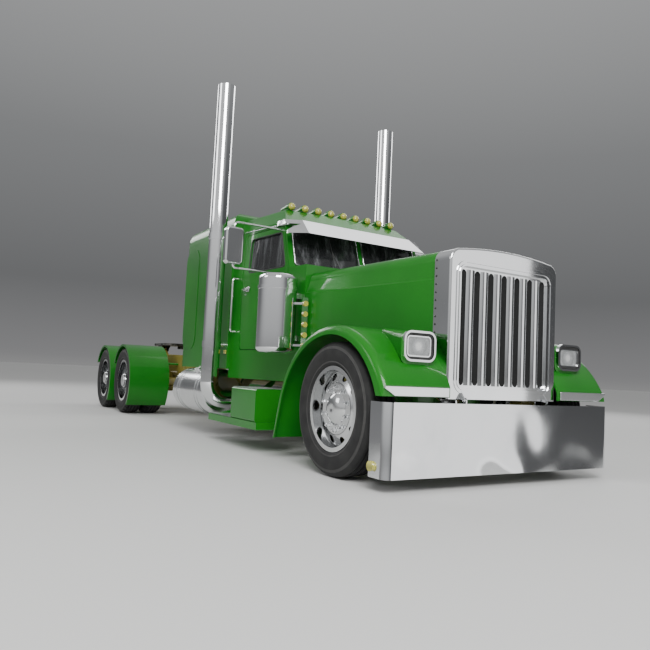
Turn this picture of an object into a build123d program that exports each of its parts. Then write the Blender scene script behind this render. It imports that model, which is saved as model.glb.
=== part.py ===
"""Long-nose tractor unit for semi-trailers, with a sleeper, two tall exhaust stacks and two drive axles.

X points forward, Y to the driver's left and Z up. The origin is on the road, under the middle of the
truck's length and width. All sizes are in millimetres.
"""

import os
from math import atan2, cos, radians, sin

from build123d import *

# Lengths along the truck, from the front axle
bumper_reach = 760
wheelbase = 7110
drive_axle_spread = 1320
rear_overhang = 1340
tail_lens_depth = 14

x_steer = (wheelbase + rear_overhang + tail_lens_depth - bumper_reach) / 2
x_bumper = x_steer + bumper_reach
x_tandem = x_steer - wheelbase
x_frame_end = x_tandem - rear_overhang
x_drive_front = x_tandem + drive_axle_spread / 2
x_drive_rear = x_tandem - drive_axle_spread / 2

# Clearances
bearing_gap = 0.3
seat_gap = 0.2
panel_gap = 8

# Wheels and tyres
tyre_radius = 530
tyre_width = 280
tyre_shoulder_drop = 14
bead_radius = 311
bead_width = 205
rim_flange_radius = 335
rim_flange_thickness = 12
rim_barrel = 10
rim_disc = 14
front_wheel_y = 1050
twin_spacing = 330
outer_twin_y = 1080
inner_twin_y = outer_twin_y - twin_spacing
hand_holes = 10
hand_hole_circle = 255
hand_hole_radius = 29
hub_pad_radius = 200
hub_cap_radius = 134
front_hub_reach = 96
rear_hub_reach = 90
hub_dome = 30
hub_barrel_radius = 120
axle_z = tyre_radius

# Frame
rail_height = 267
rail_flange = 89
rail_web = 9
frame_width = 864
frame_top = 980
rail_front_reach = 610
crossmember_depth = 180
crossmember_width = 75
crossmember_sheet = 9
rail_bottom = frame_top - rail_height
rail_y = frame_width / 2
x_rail_front = x_steer + rail_front_reach

# Bumper
bumper_width = 2400
bumper_top = 626
bumper_bottom = 100
bumper_depth = 190
bumper_corner = 60
bumper_sheet = 6
bumper_flange = 45
bumper_bracket = 12
tow_pin_radius = 16
tow_eye_setback = 90
tow_eye_radius = 34
tow_eye_height = 30
tow_eye_y = frame_width / 2 + bumper_bracket + tow_eye_radius + 6
tow_eye_z = 360

# Radiator shell, grille and hood
shell_reach = 680
shell_depth = 180
shell_width = 1190
shell_bottom = 655
shell_top = 1835
shell_side_top = 1800
shell_corner = 95
shell_sheet = 12
shell_front_plate = 25
shell_edge_round = 16
bead_ring_width = 14
bead_ring_height = 7
grille_width = 980
grille_bottom = 738
grille_top = 1668
grille_corner = 55
grille_slots = 7
grille_slot_pitch = 147
grille_slot_width = 56
grille_slot_margin = 22
grille_plate = 6
grille_bar_crown = 15
grille_seat = 14
hood_sheet = 10
hood_rear_width = 1660
hood_crease_z = 1565
hood_crease_step = 10
hood_rear_top = 1855
hood_rear_side_top = 1780
hood_lean = 35
hood_low_z = 1010
hood_pivot_reach = 705
hood_pivot_z = 650
hood_pin_radius = 10
hood_ear_radius = 20
hood_lug_gap = 5
hood_lug_thickness = 16
x_shell_front = x_steer + shell_reach
x_shell_back = x_shell_front - shell_depth
x_hood_pivot = x_steer + hood_pivot_reach

# Front fenders
fender_overhang = 15
fender_outer_y = bumper_width / 2 + fender_overhang
fender_inner_y = shell_width / 2 + seat_gap
fender_sheet = 14
fender_lip = 75
fender_lip_round = 55
arch_top = 1110
arch_front_reach = 642
arch_rear_reach = 765
arch_rear_z = 560
fender_front_reach = 716
fender_front_top = 745
fender_front_bottom = 665
fender_rear_reach = 840
fender_tail_reach = 935
fender_tail_inner_reach = 874
fender_tail_z = 208

# Headlamps
lamp_y = 830
lamp_z = 1030
lamp_width = 280
lamp_height = 210
lamp_corner = 58
lamp_face_reach = 615
lamp_pod_tail_reach = 250
lamp_pod_tail_share = 0.45
lamp_bezel_overlap = 8
lamp_bezel_bottom = 5
lamp_lens_inset = 38
lamp_glass = 12
lamp_glass_round = 8

# Cab
firewall_setback = 1110
windshield_setback = 1345
windshield_sweep = 55
windshield_rake = 170
cab_back_setback = 2550
cab_front_width = 1664
cab_back_width = 1960
cab_wall = 45
cab_sill_z = 700
floor_bottom = 1020
floor_top = 1060
belt_z = 1850
header_z = 2360
tumblehome = 32
roof_top = 2545
roof_front_slope = 230
roof_side_slope = 110
roof_round = 60
roof_wall = 30
windshield_post = 32
windshield_pillar = 62
windshield_sill = 30
windshield_header = 50
window_round = 45
glass_thickness = 6
x_firewall = x_steer - firewall_setback
x_windshield = x_steer - windshield_setback
x_cab_back = x_steer - cab_back_setback

# Doors
door_front_setback = 1432
door_rear_setback = 2330
door_bottom = 1020
door_top = 2305
door_round = 50
window_front_margin = 48
window_rear_setback = 2215
window_bottom = 1868
window_top = 2245

# Sleeper
sleeper_length = 1700
sleeper_width = 2010
sleeper_wall = 40
sleeper_skirt_z = 800
sleeper_seam = 2430
sleeper_top = 2640
sleeper_shoulder = 170
sleeper_corner = 200
side_panel_front = 1090
side_panel_rear = 1640
side_panel_bottom = 1030
side_panel_top = 2350
side_panel_round = 170
side_panel_raise = 6
walkway_width = 760
walkway_top = 2250
x_sleeper_back = x_cab_back - sleeper_length

pieces = []


def keep(builder, name):
    """Labels a finished piece and puts it on the list of files to write."""
    builder.part.label = name
    pieces.append(builder.part)


def cap_arc(foot, tip):
    """Arc from a foot to a tip on the axis of revolution, its centre on that axis, for a domed end."""
    rise = tip[0] - foot[0]
    width = foot[1] - tip[1]
    radius = (rise**2 + width**2) / (2 * rise)
    half_turn = atan2(width, radius - rise) / 2
    middle = (tip[0] - radius + radius * cos(half_turn), tip[1] + radius * sin(half_turn))
    return ThreePointArc(foot, middle, tip)


def crown_arc(crown_z, foot_reach, foot_z, forward):
    """Arc in the XZ plane, level above the front axle, that comes down to a foot ahead or behind."""
    foot = (x_steer + forward * foot_reach, foot_z)
    return TangentArc((x_steer, crown_z), foot, tangent=(forward, 0))


def fender_region(inset, skirt_drop):
    """Face in the XZ plane below the fender's crown, down to a level line, its sheet's inset taken off."""
    crown = arch_top + fender_lip - inset
    front = x_steer + fender_front_reach - inset
    low = fender_tail_z - skirt_drop
    with BuildSketch(Plane.XZ) as region:
        with BuildLine():
            crown_arc(crown, fender_front_reach - inset, fender_front_top - inset, 1)
            crown_arc(crown, fender_rear_reach - inset, arch_rear_z, -1)
            Polyline((x_steer - fender_rear_reach + inset, arch_rear_z),
                     (x_steer - fender_tail_reach + inset, low), (front, low),
                     (front, fender_front_top - inset))
        make_face()
    return region.sketch


def arch_region():
    """Face in the XZ plane that the wheel arch leaves open."""
    low = fender_tail_z - 1
    with BuildSketch(Plane.XZ) as region:
        with BuildLine():
            crown_arc(arch_top, arch_front_reach, fender_front_bottom, 1)
            crown_arc(arch_top, arch_rear_reach, arch_rear_z, -1)
            Polyline((x_steer - arch_rear_reach, arch_rear_z), (x_steer - fender_tail_inner_reach, low),
                     (x_steer + fender_front_reach + 1, low),
                     (x_steer + fender_front_reach + 1, fender_front_bottom),
                     (x_steer + arch_front_reach, fender_front_bottom))
        make_face()
    return region.sketch


def hood_section(x, half_width, low_z, side_top, top, lean, inset):
    """Face across the hood: upright sides, a stepped crease, rounded shoulders and a crowned top."""
    side = half_width - inset
    neck_y = side - hood_crease_step - lean
    neck_z = side_top - shell_corner
    with BuildSketch(Plane.YZ.offset(x)) as section:
        with BuildLine():
            for hand in (1, -1):
                Polyline((hand * side, low_z), (hand * side, hood_crease_z),
                         (hand * (side - hood_crease_step), hood_crease_z + hood_crease_step),
                         (hand * neck_y, neck_z))
                RadiusArc((hand * neck_y, neck_z), (hand * (neck_y - shell_corner), side_top - inset),
                          -hand * shell_corner * 1.02)
            ThreePointArc((neck_y - shell_corner, side_top - inset), (0, top - inset),
                          (shell_corner - neck_y, side_top - inset))
            Line((side, low_z), (-side, low_z))
        make_face()
    return section.sketch


def hood_form(inset, overrun):
    """Solid that the hood's outer or inner skin encloses, between the radiator shell and the firewall."""
    low_z = hood_low_z - overrun
    with BuildPart() as form:
        add(hood_section(x_shell_back + overrun, shell_width / 2, low_z, shell_side_top, shell_top, 0, inset))
        add(hood_section(x_firewall + panel_gap - overrun, hood_rear_width / 2, low_z, hood_rear_side_top,
                         hood_rear_top, hood_lean, inset))
        loft(ruled=True)
    return form.part


def shell_outline(inset):
    """Points' line round the radiator shell: upright sides, rounded shoulders and a crowned top."""
    half = shell_width / 2 - inset
    corner = shell_corner - inset
    side_top = shell_side_top - inset
    Polyline((half, side_top - corner), (half, shell_bottom + inset), (-half, shell_bottom + inset),
             (-half, side_top - corner))
    RadiusArc((half, side_top - corner), (half - corner, side_top), -corner * 1.02)
    RadiusArc((-half, side_top - corner), (corner - half, side_top), corner * 1.02)
    ThreePointArc((half - corner, side_top), (0, shell_top - inset), (corner - half, side_top))


# Frame: two pressed channel rails
with BuildPart() as frame:
    with BuildSketch(Plane.YZ.offset(x_frame_end)):
        with Locations((rail_y - rail_flange / 2, frame_top - rail_height / 2)):
            Rectangle(rail_flange, rail_height)
        with Locations((rail_y - rail_web - rail_flange / 2, frame_top - rail_height / 2)):
            Rectangle(rail_flange, rail_height - 2 * rail_web, mode=Mode.SUBTRACT)
    extrude(amount=x_rail_front - x_frame_end)
    mirror(about=Plane.XZ)
keep(frame, "frame")

# Crossmembers: channels between the rails' webs
crossmember_setbacks = (-540, 2120, 2900, 3700, 4600, 5600, 7110, 8350)
with BuildPart() as crossmembers:
    for setback in crossmember_setbacks:
        with BuildSketch(Plane.XZ):
            with Locations((x_steer - setback, frame_top - rail_height / 2)):
                Rectangle(crossmember_width, crossmember_depth)
            with Locations((x_steer - setback - crossmember_sheet, frame_top - rail_height / 2)):
                Rectangle(crossmember_width, crossmember_depth - 2 * crossmember_sheet, mode=Mode.SUBTRACT)
        extrude(amount=rail_y - rail_web, both=True)
keep(crossmembers, "crossmembers")

# Bumper: a deep pressed channel with rounded corners, on two brackets bolted outside the rails
with BuildPart() as bumper:
    with BuildSketch(Plane.XY.offset(bumper_bottom)):
        with Locations((x_bumper - bumper_depth, 0)):
            Rectangle(2 * bumper_depth, bumper_width)
        fillet([v for v in vertices() if v.X > x_bumper - 1], bumper_corner)
        with Locations((x_bumper - bumper_depth * 1.5, 0)):
            Rectangle(bumper_depth, bumper_width, mode=Mode.SUBTRACT)
    extrude(amount=bumper_top - bumper_bottom)
    with BuildSketch(Plane.XY.offset(bumper_bottom + bumper_sheet)):
        with Locations((x_bumper - bumper_depth - bumper_sheet, 0)):
            Rectangle(2 * bumper_depth, bumper_width - 2 * bumper_sheet)
        fillet([v for v in vertices() if v.X > x_bumper - bumper_sheet - 1], bumper_corner - bumper_sheet)
    extrude(amount=bumper_top - bumper_bottom - 2 * bumper_sheet, mode=Mode.SUBTRACT)
    with BuildSketch(Plane.XY.offset(bumper_bottom)):
        with Locations((x_bumper - bumper_depth - bumper_flange, 0)):
            Rectangle(2 * bumper_depth, bumper_width - 2 * bumper_flange)
    extrude(amount=bumper_top - bumper_bottom, mode=Mode.SUBTRACT)
    with BuildSketch(Plane.XZ.offset(rail_y)):
        with BuildLine():
            Polyline((x_bumper - bumper_sheet, bumper_top - 40), (x_rail_front + 6, bumper_top - 10),
                     (x_rail_front - 10, rail_bottom + 200), (x_rail_front - 250, rail_bottom + 200),
                     (x_rail_front - 250, rail_bottom + 10), (x_bumper - bumper_sheet, bumper_bottom + 160),
                     close=True)
        make_face()
        with BuildLine():
            Polyline((x_hood_pivot - hood_ear_radius, bumper_top - 60), (x_hood_pivot - hood_ear_radius,
                                                                         hood_pivot_z),
                     (x_hood_pivot + hood_ear_radius, hood_pivot_z), (x_hood_pivot + hood_ear_radius,
                                                                      bumper_top - 60),
                     close=True)
        make_face()
        with Locations((x_hood_pivot, hood_pivot_z)):
            Circle(hood_ear_radius)
    extrude(amount=bumper_bracket)
    with BuildSketch(Plane.XY.offset(tow_eye_z - tow_eye_height / 2)):
        with Locations((x_bumper - tow_eye_setback, -tow_eye_y)):
            Circle(tow_eye_radius)
        with Locations((x_bumper - tow_eye_setback, -(rail_y + tow_eye_y) / 2)):
            Rectangle(2 * tow_eye_radius, tow_eye_y - rail_y)
        with Locations((x_bumper - tow_eye_setback, -tow_eye_y)):
            Circle(tow_pin_radius, mode=Mode.SUBTRACT)
    extrude(amount=tow_eye_height)
    with BuildSketch(Plane.XZ.offset(rail_y)):
        with Locations((x_hood_pivot, hood_pivot_z)):
            Circle(hood_pin_radius)
    extrude(amount=bumper_bracket + hood_lug_gap + hood_lug_thickness + 3)
    mirror(about=Plane.XZ)
keep(bumper, "bumper")

# Engine, radiator and driveline: plain blocks at their real places, seen from below and through the grille
engine_front_reach = 180
engine_rear_setback = 1040
engine_width = 720
engine_bottom = 640
engine_top = 1480
sump_width = 420
radiator_back_reach = 330
radiator_thickness = 110
radiator_width = 1020
radiator_bottom = frame_top
radiator_top = 1720
mount_foot = 60
with BuildPart() as engine_block:
    with BuildSketch(Plane.YZ.offset(x_steer - engine_rear_setback)):
        with BuildLine():
            Polyline((-engine_width / 2, frame_top + 40), (-sump_width / 2, frame_top), (-sump_width / 2,
                                                                                         engine_bottom),
                     (sump_width / 2, engine_bottom), (sump_width / 2, frame_top), (engine_width / 2,
                                                                                    frame_top + 40),
                     (engine_width / 2, engine_top - 120), (sump_width / 2, engine_top), (-sump_width / 2,
                                                                                          engine_top),
                     (-engine_width / 2, engine_top - 120), close=True)
        make_face()
    extrude(amount=engine_front_reach + engine_rear_setback)
    with BuildSketch(Plane.XY.offset(frame_top)):
        for setback in (150, 850):
            with Locations((x_steer - setback, 0)):
                Rectangle(120, frame_width - 40)
    extrude(amount=mount_foot)
keep(engine_block, "engine_block")

with BuildPart() as radiator:
    with BuildSketch(Plane.YZ.offset(x_steer + radiator_back_reach)):
        with Locations((0, (radiator_bottom + radiator_top) / 2)):
            RectangleRounded(radiator_width, radiator_top - radiator_bottom, 30)
    extrude(amount=radiator_thickness)
keep(radiator, "radiator")

gearbox_length = 900
gearbox_radius = 230
shaft_radius = 60
shaft_z = 660
x_gearbox_front = x_steer - engine_rear_setback
x_gearbox_back = x_gearbox_front - gearbox_length
bowl_radius = 205
with BuildPart() as gearbox_and_shafts:
    with BuildSketch(Plane.YZ.offset(x_gearbox_front)):
        with Locations((0, shaft_z + 60)):
            Circle(gearbox_radius)
    with BuildSketch(Plane.YZ.offset(x_gearbox_back)):
        with Locations((0, shaft_z)):
            Circle(gearbox_radius * 0.6)
    loft(ruled=True)
    with BuildSketch(Plane.YZ.offset(x_gearbox_back)):
        with Locations((0, shaft_z)):
            Circle(shaft_radius)
    extrude(amount=-(x_gearbox_back - x_drive_front - bowl_radius))
    with BuildSketch(Plane.YZ.offset(x_drive_front - bowl_radius)):
        with Locations((0, shaft_z)):
            Circle(shaft_radius)
    extrude(amount=-(drive_axle_spread - 2 * bowl_radius))
keep(gearbox_and_shafts, "gearbox_and_shafts")

# Front axle: forged beam, dropped in the middle, with a boss at each kingpin
kingpin_y = 870
kingpin_radius = 24
kingpin_boss_radius = 46
kingpin_boss_height = 110
beam_width = 90
beam_drop = 70
beam_depth = 90
spring_y = 385
spring_width = 90
spring_thickness = 60
front_spring_reach = 560
with BuildPart() as front_axle:
    with BuildSketch(Plane.YZ.offset(x_steer - beam_width / 2)):
        with BuildLine():
            top = axle_z + beam_depth / 2
            Polyline((-kingpin_y, top), (-kingpin_y + 150, top), (-spring_y - 90, top - beam_drop),
                     (spring_y + 90, top - beam_drop), (kingpin_y - 150, top), (kingpin_y, top),
                     (kingpin_y, top - beam_depth), (kingpin_y - 170, top - beam_depth),
                     (spring_y + 70, top - beam_depth - beam_drop), (-spring_y - 70,
                                                                     top - beam_depth - beam_drop),
                     (-kingpin_y + 170, top - beam_depth), (-kingpin_y, top - beam_depth), close=True)
        make_face()
    extrude(amount=beam_width)
    with BuildSketch(Plane.XY.offset(axle_z - kingpin_boss_height / 2)):
        with Locations((x_steer, kingpin_y), (x_steer, -kingpin_y)):
            Circle(kingpin_boss_radius)
    extrude(amount=kingpin_boss_height)
    with BuildSketch(Plane.XY.offset(axle_z - kingpin_boss_height / 2)):
        with Locations((x_steer, kingpin_y), (x_steer, -kingpin_y)):
            Circle(kingpin_radius + bearing_gap)
    extrude(amount=kingpin_boss_height, mode=Mode.SUBTRACT)
keep(front_axle, "front_axle")

# Drive axles: housings with a round bowl in the middle and spindles at the ends
housing_radius = 75
housing_reach = 640
spindle_radius = 55
with BuildPart() as drive_axles:
    for x in (x_drive_front, x_drive_rear):
        with BuildSketch(Plane.XZ):
            with Locations((x, axle_z)):
                Circle(housing_radius)
        extrude(amount=housing_reach, both=True)
        with BuildSketch(Plane.XZ):
            with Locations((x, axle_z)):
                Circle(spindle_radius)
        extrude(amount=outer_twin_y + rear_hub_reach, both=True)
        with BuildSketch(Plane.YZ.offset(x)):
            with Locations((0, axle_z)):
                Circle(bowl_radius)
        extrude(amount=bowl_radius * 0.6, both=True)
        with BuildSketch(Plane.YZ.offset(x)):
            with Locations((0, shaft_z)):
                Circle(shaft_radius * 1.4)
        extrude(amount=bowl_radius, both=True)
keep(drive_axles, "drive_axles")

# Springs: arched leaf packs at the front, trailing arms with air bags at the rear
arm_thickness = 50
arm_top = axle_z - housing_radius
arm_hanger_reach = 480
air_bag_setback = 330
air_bag_radius = 125
air_bag_neck = 0.72
leaf_seat_z = axle_z + beam_depth / 2 - beam_drop
with BuildPart() as springs:
    with BuildSketch(Plane.XZ.offset(spring_y - spring_width / 2)):
        with BuildLine():
            ThreePointArc((x_steer - front_spring_reach, leaf_seat_z + 130), (x_steer, leaf_seat_z),
                          (x_steer + front_spring_reach, leaf_seat_z + 130))
            Line((x_steer + front_spring_reach, leaf_seat_z + 130),
                 (x_steer + front_spring_reach, leaf_seat_z + 130 + spring_thickness / 3))
            ThreePointArc((x_steer + front_spring_reach, leaf_seat_z + 130 + spring_thickness / 3),
                          (x_steer, leaf_seat_z + spring_thickness),
                          (x_steer - front_spring_reach, leaf_seat_z + 130 + spring_thickness / 3))
            Line((x_steer - front_spring_reach, leaf_seat_z + 130 + spring_thickness / 3),
                 (x_steer - front_spring_reach, leaf_seat_z + 130))
        make_face()
    extrude(amount=spring_width)
    for end in (1, -1):
        with BuildSketch(Plane.XZ.offset(spring_y - spring_width / 2)):
            with Locations((x_steer + end * (front_spring_reach - 60),
                            (leaf_seat_z + 110 + rail_bottom) / 2)):
                Rectangle(70, rail_bottom - leaf_seat_z - 110)
        extrude(amount=spring_width)
    for x in (x_drive_front, x_drive_rear):
        with BuildSketch(Plane.XZ.offset(spring_y - spring_width / 2)):
            with BuildLine():
                Polyline((x + arm_hanger_reach + 50, rail_bottom), (x + arm_hanger_reach + 30,
                                                                    arm_top - arm_thickness),
                         (x - air_bag_setback - 60, arm_top - arm_thickness), (x - air_bag_setback - 60,
                                                                               arm_top),
                         (x + arm_hanger_reach - 40, arm_top), (x + arm_hanger_reach - 50,
                                                                rail_bottom), close=True)
            make_face()
        extrude(amount=spring_width)
        with BuildSketch(Plane.XY.offset(arm_top)):
            with Locations((x - air_bag_setback, -spring_y)):
                Circle(air_bag_radius * air_bag_neck)
        extrude(amount=rail_bottom - arm_top)
        with BuildSketch(Plane.XY.offset(arm_top + 50)):
            with Locations((x - air_bag_setback, -spring_y)):
                Circle(air_bag_radius)
        extrude(amount=rail_bottom - arm_top - 70)
    mirror(about=Plane.XZ)
keep(springs, "springs")

# Fuel tanks: round, with domed ends, two double straps and two hangers from the rail
tank_radius = 270
tank_y = 930
tank_z = 520
tank_front_setback = 2790
tank_rear_setback = 3850
tank_end_round = 50
strap_width = 45
strap_pair_gap = 35
strap_thickness = 6
strap_offsets = (220, 840)
hanger_width = 60
hanger_thickness = 50
x_tank_front = x_steer - tank_front_setback
x_tank_rear = x_steer - tank_rear_setback
with BuildPart() as fuel_tanks:
    with BuildSketch(Plane.YZ.offset(x_tank_rear)):
        with Locations((-tank_y, tank_z)):
            Circle(tank_radius)
    extrude(amount=x_tank_front - x_tank_rear)
    fillet(edges().filter_by(GeomType.CIRCLE), tank_end_round)
    for strap_place in strap_offsets:
        for pair in (-1, 1):
            middle_x = x_tank_front - strap_place + pair * (strap_width + strap_pair_gap) / 2
            with BuildSketch(Plane.YZ.offset(middle_x - strap_width / 2)):
                with Locations((-tank_y, tank_z)):
                    Circle(tank_radius + strap_thickness)
            extrude(amount=strap_width)
    for strap_place in strap_offsets:
        with BuildSketch(Plane.YZ.offset(x_tank_front - strap_place - hanger_width / 2)):
            with BuildLine():
                Polyline((-rail_y, frame_top - 30), (-rail_y - hanger_thickness, frame_top - 60),
                         (-tank_y + tank_radius * 0.9, tank_z - 60), (-tank_y + 40,
                                                                      tank_z - tank_radius - 12),
                         (-tank_y - 60, tank_z - tank_radius - 22), (-tank_y + 80, tank_z - tank_radius - 40),
                         (-rail_y - 40, rail_bottom - 60), (-rail_y, rail_bottom), close=True)
            make_face()
        extrude(amount=hanger_width)
    mirror(about=Plane.XZ)
keep(fuel_tanks, "fuel_tanks")

# Step boxes: battery box and tool box with a step plate below, on hangers from the rail
step_outer_y = 1200
step_box_inner_y = 720
step_box_front_setback = 1320
step_box_rear_setback = 1900
step_box_bottom = 300
step_box_top = 620
step_plate_rear_setback = 2510
step_plate_bottom = 232
step_plate_thickness = 66
step_plate_depth = 330
step_box_round = 25
step_hanger_width = 60
with BuildPart() as step_boxes:
    with BuildSketch(Plane.YZ.offset(x_steer - step_box_rear_setback)):
        with Locations((-(step_outer_y + step_box_inner_y) / 2, (step_box_bottom + step_box_top) / 2)):
            RectangleRounded(step_outer_y - step_box_inner_y, step_box_top - step_box_bottom, step_box_round)
    extrude(amount=step_box_rear_setback - step_box_front_setback)
    with BuildSketch(Plane.YZ.offset(x_steer - step_plate_rear_setback)):
        with Locations((-step_outer_y + step_plate_depth / 2,
                        step_plate_bottom + step_plate_thickness / 2 + 2)):
            Rectangle(step_plate_depth, step_plate_thickness + 4)
    extrude(amount=step_plate_rear_setback - step_box_front_setback + 40)
    for setback in (step_box_front_setback + 60, step_plate_rear_setback - 60):
        with BuildSketch(Plane.YZ.offset(x_steer - setback - step_hanger_width / 2)):
            with BuildLine():
                Polyline((-rail_y, frame_top - 60), (-rail_y - 40, frame_top - 80), (-rail_y - 40,
                                                                                     step_box_top + 60),
                         (-step_outer_y + step_plate_depth, step_box_bottom + 60),
                         (-step_outer_y + 60, step_box_bottom), (-step_outer_y + 60, step_plate_bottom + 20),
                         (-step_outer_y + step_plate_depth + 40, step_plate_bottom + 20),
                         (-rail_y - 10, rail_bottom - 60), (-rail_y, rail_bottom), close=True)
            make_face()
        extrude(amount=step_hanger_width)
    mirror(about=Plane.XZ)
keep(step_boxes, "step_boxes")

# Air tanks: outside the rails between the fuel tanks and the drive wheels
air_tank_radius = 115
air_tank_y = rail_y + air_tank_radius + 18
air_tank_z = 640
air_tank_front_setback = 4000
air_tank_length = 760
air_tank_end_round = 45
air_tank_strap = 40
with BuildPart() as air_tanks:
    with BuildSketch(Plane.YZ.offset(x_steer - air_tank_front_setback - air_tank_length)):
        with Locations((-air_tank_y, air_tank_z)):
            Circle(air_tank_radius)
    extrude(amount=air_tank_length)
    fillet(edges().filter_by(GeomType.CIRCLE), air_tank_end_round)
    for strap_place in (160, air_tank_length - 160):
        with BuildSketch(Plane.YZ.offset(x_steer - air_tank_front_setback - strap_place - air_tank_strap / 2)):
            with Locations((-air_tank_y, air_tank_z)):
                Circle(air_tank_radius + 5)
            with Locations((-rail_y - 25, rail_bottom + 60)):
                Rectangle(50, 120)
        extrude(amount=air_tank_strap)
    mirror(about=Plane.XZ)
keep(air_tanks, "air_tanks")

# Exhaust stacks: straight pipes joined by a cross pipe that passes under the frame
stack_radius = 101.6
stack_wall = 3
stack_setback = 2650
stack_standoff = 155
stack_y = sleeper_width / 2 + stack_standoff
stack_top = 4110
stack_elbow_z = 450
stack_elbow_radius = 190
stack_open_depth = 260
stack_ring_height = 70
stack_ring_step = 7
stack_ring_z = (1070, 2310)
stack_arm_radius = 22
x_stack = x_steer - stack_setback
with BuildPart() as stacks:
    with BuildLine() as route:
        FilletPolyline((x_stack, 0, stack_elbow_z), (x_stack, -stack_y, stack_elbow_z),
                       (x_stack, -stack_y, stack_top), radius=stack_elbow_radius)
    with BuildSketch(Plane(origin=(x_stack, 0, stack_elbow_z), z_dir=(0, -1, 0))):
        Circle(stack_radius)
    sweep()
    with BuildSketch(Plane.XY.offset(stack_top)):
        with Locations((x_stack, -stack_y)):
            Circle(stack_radius - stack_wall)
    extrude(amount=-stack_open_depth, mode=Mode.SUBTRACT)
    for z in stack_ring_z:
        with BuildSketch(Plane.XY.offset(z - stack_ring_height / 2)):
            with Locations((x_stack, -stack_y)):
                Circle(stack_radius + stack_ring_step)
        extrude(amount=stack_ring_height)
        with BuildSketch(Plane.XZ.offset(sleeper_width / 2)):
            with Locations((x_stack, z)):
                Circle(stack_arm_radius)
        extrude(amount=stack_y - sleeper_width / 2)
    mirror(about=Plane.XZ)
keep(stacks, "stacks")

# Rear fenders: one over each axle's wheels, from low ahead of the tyre to behind its top, on tubes
fender_radius = 582
rear_fender_sheet = 5
rear_fender_low = 40
rear_fender_back = 152
rear_fender_inner_y = 600
rear_fender_outer_y = 1228
rear_fender_lip = 28
fender_tube_radius = 17
fender_tube_circle = fender_radius - fender_tube_radius - seat_gap
fender_tube_angle = 32


def wheel_arc(x, radius, start, end):
    """Arc round a drive wheel, its angles counted in degrees from straight ahead."""
    middle = (start + end) / 2
    points = [(x + radius * cos(radians(a)), axle_z + radius * sin(radians(a))) for a in (start, middle, end)]
    return ThreePointArc(*points)


with BuildPart() as rear_fenders:
    for x in (x_drive_front, x_drive_rear):
        for inner_radius, first_y, last_y in (
            (fender_radius, rear_fender_inner_y, rear_fender_outer_y),
            (fender_radius - rear_fender_lip, rear_fender_outer_y - rear_fender_sheet, rear_fender_outer_y),
        ):
            with BuildSketch(Plane.XZ.offset(first_y)):
                with BuildLine():
                    outer = wheel_arc(x, fender_radius + rear_fender_sheet, -rear_fender_low,
                                      rear_fender_back)
                    inner = wheel_arc(x, inner_radius, -rear_fender_low, rear_fender_back)
                    Line(outer @ 0, inner @ 0)
                    Line(outer @ 1, inner @ 1)
                make_face()
            extrude(amount=last_y - first_y)
        with BuildSketch(Plane.XZ.offset(rail_y)):
            for angle in (fender_tube_angle, 180 - fender_tube_angle):
                with Locations((x + fender_tube_circle * cos(radians(angle)),
                                axle_z + fender_tube_circle * sin(radians(angle)))):
                    Circle(fender_tube_radius)
        extrude(amount=rear_fender_outer_y - rear_fender_sheet - rail_y)
    mirror(about=Plane.XZ)
keep(rear_fenders, "rear_fenders")

# Fifth wheel: a pitching top plate with a closed jaw for a 2 inch kingpin, on two pedestals
jaw_radius = 25.6
plate_top = 1190
plate_thickness = 38
plate_length = 820
plate_width = 900
plate_skirt = 45
throat_mouth = 330
throat_width = 110
pivot_z = 1095
pivot_radius = 30
pivot_y = 330
pedestal_width = 60
pedestal_gap = 4
base_plate_thickness = 14
base_plate_length = 760
jaw_block_radius = 110
x_fifth_wheel = x_tandem + 90
with BuildPart() as fifth_wheel_base:
    with BuildSketch(Plane.XY.offset(frame_top)):
        with Locations((x_fifth_wheel, 0)):
            Rectangle(base_plate_length, frame_width)
    extrude(amount=base_plate_thickness)
    with BuildSketch(Plane.XZ.offset(pivot_y)):
        with BuildLine():
            Polyline((x_fifth_wheel - 200, frame_top + base_plate_thickness),
                     (x_fifth_wheel - 52, pivot_z), (x_fifth_wheel + 52, pivot_z),
                     (x_fifth_wheel + 200, frame_top + base_plate_thickness), close=True)
        make_face()
        with Locations((x_fifth_wheel, pivot_z)):
            Circle(52)
            Circle(pivot_radius + bearing_gap, mode=Mode.SUBTRACT)
    extrude(amount=pedestal_width)
    mirror(about=Plane.XZ)
keep(fifth_wheel_base, "fifth_wheel_base")

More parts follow.
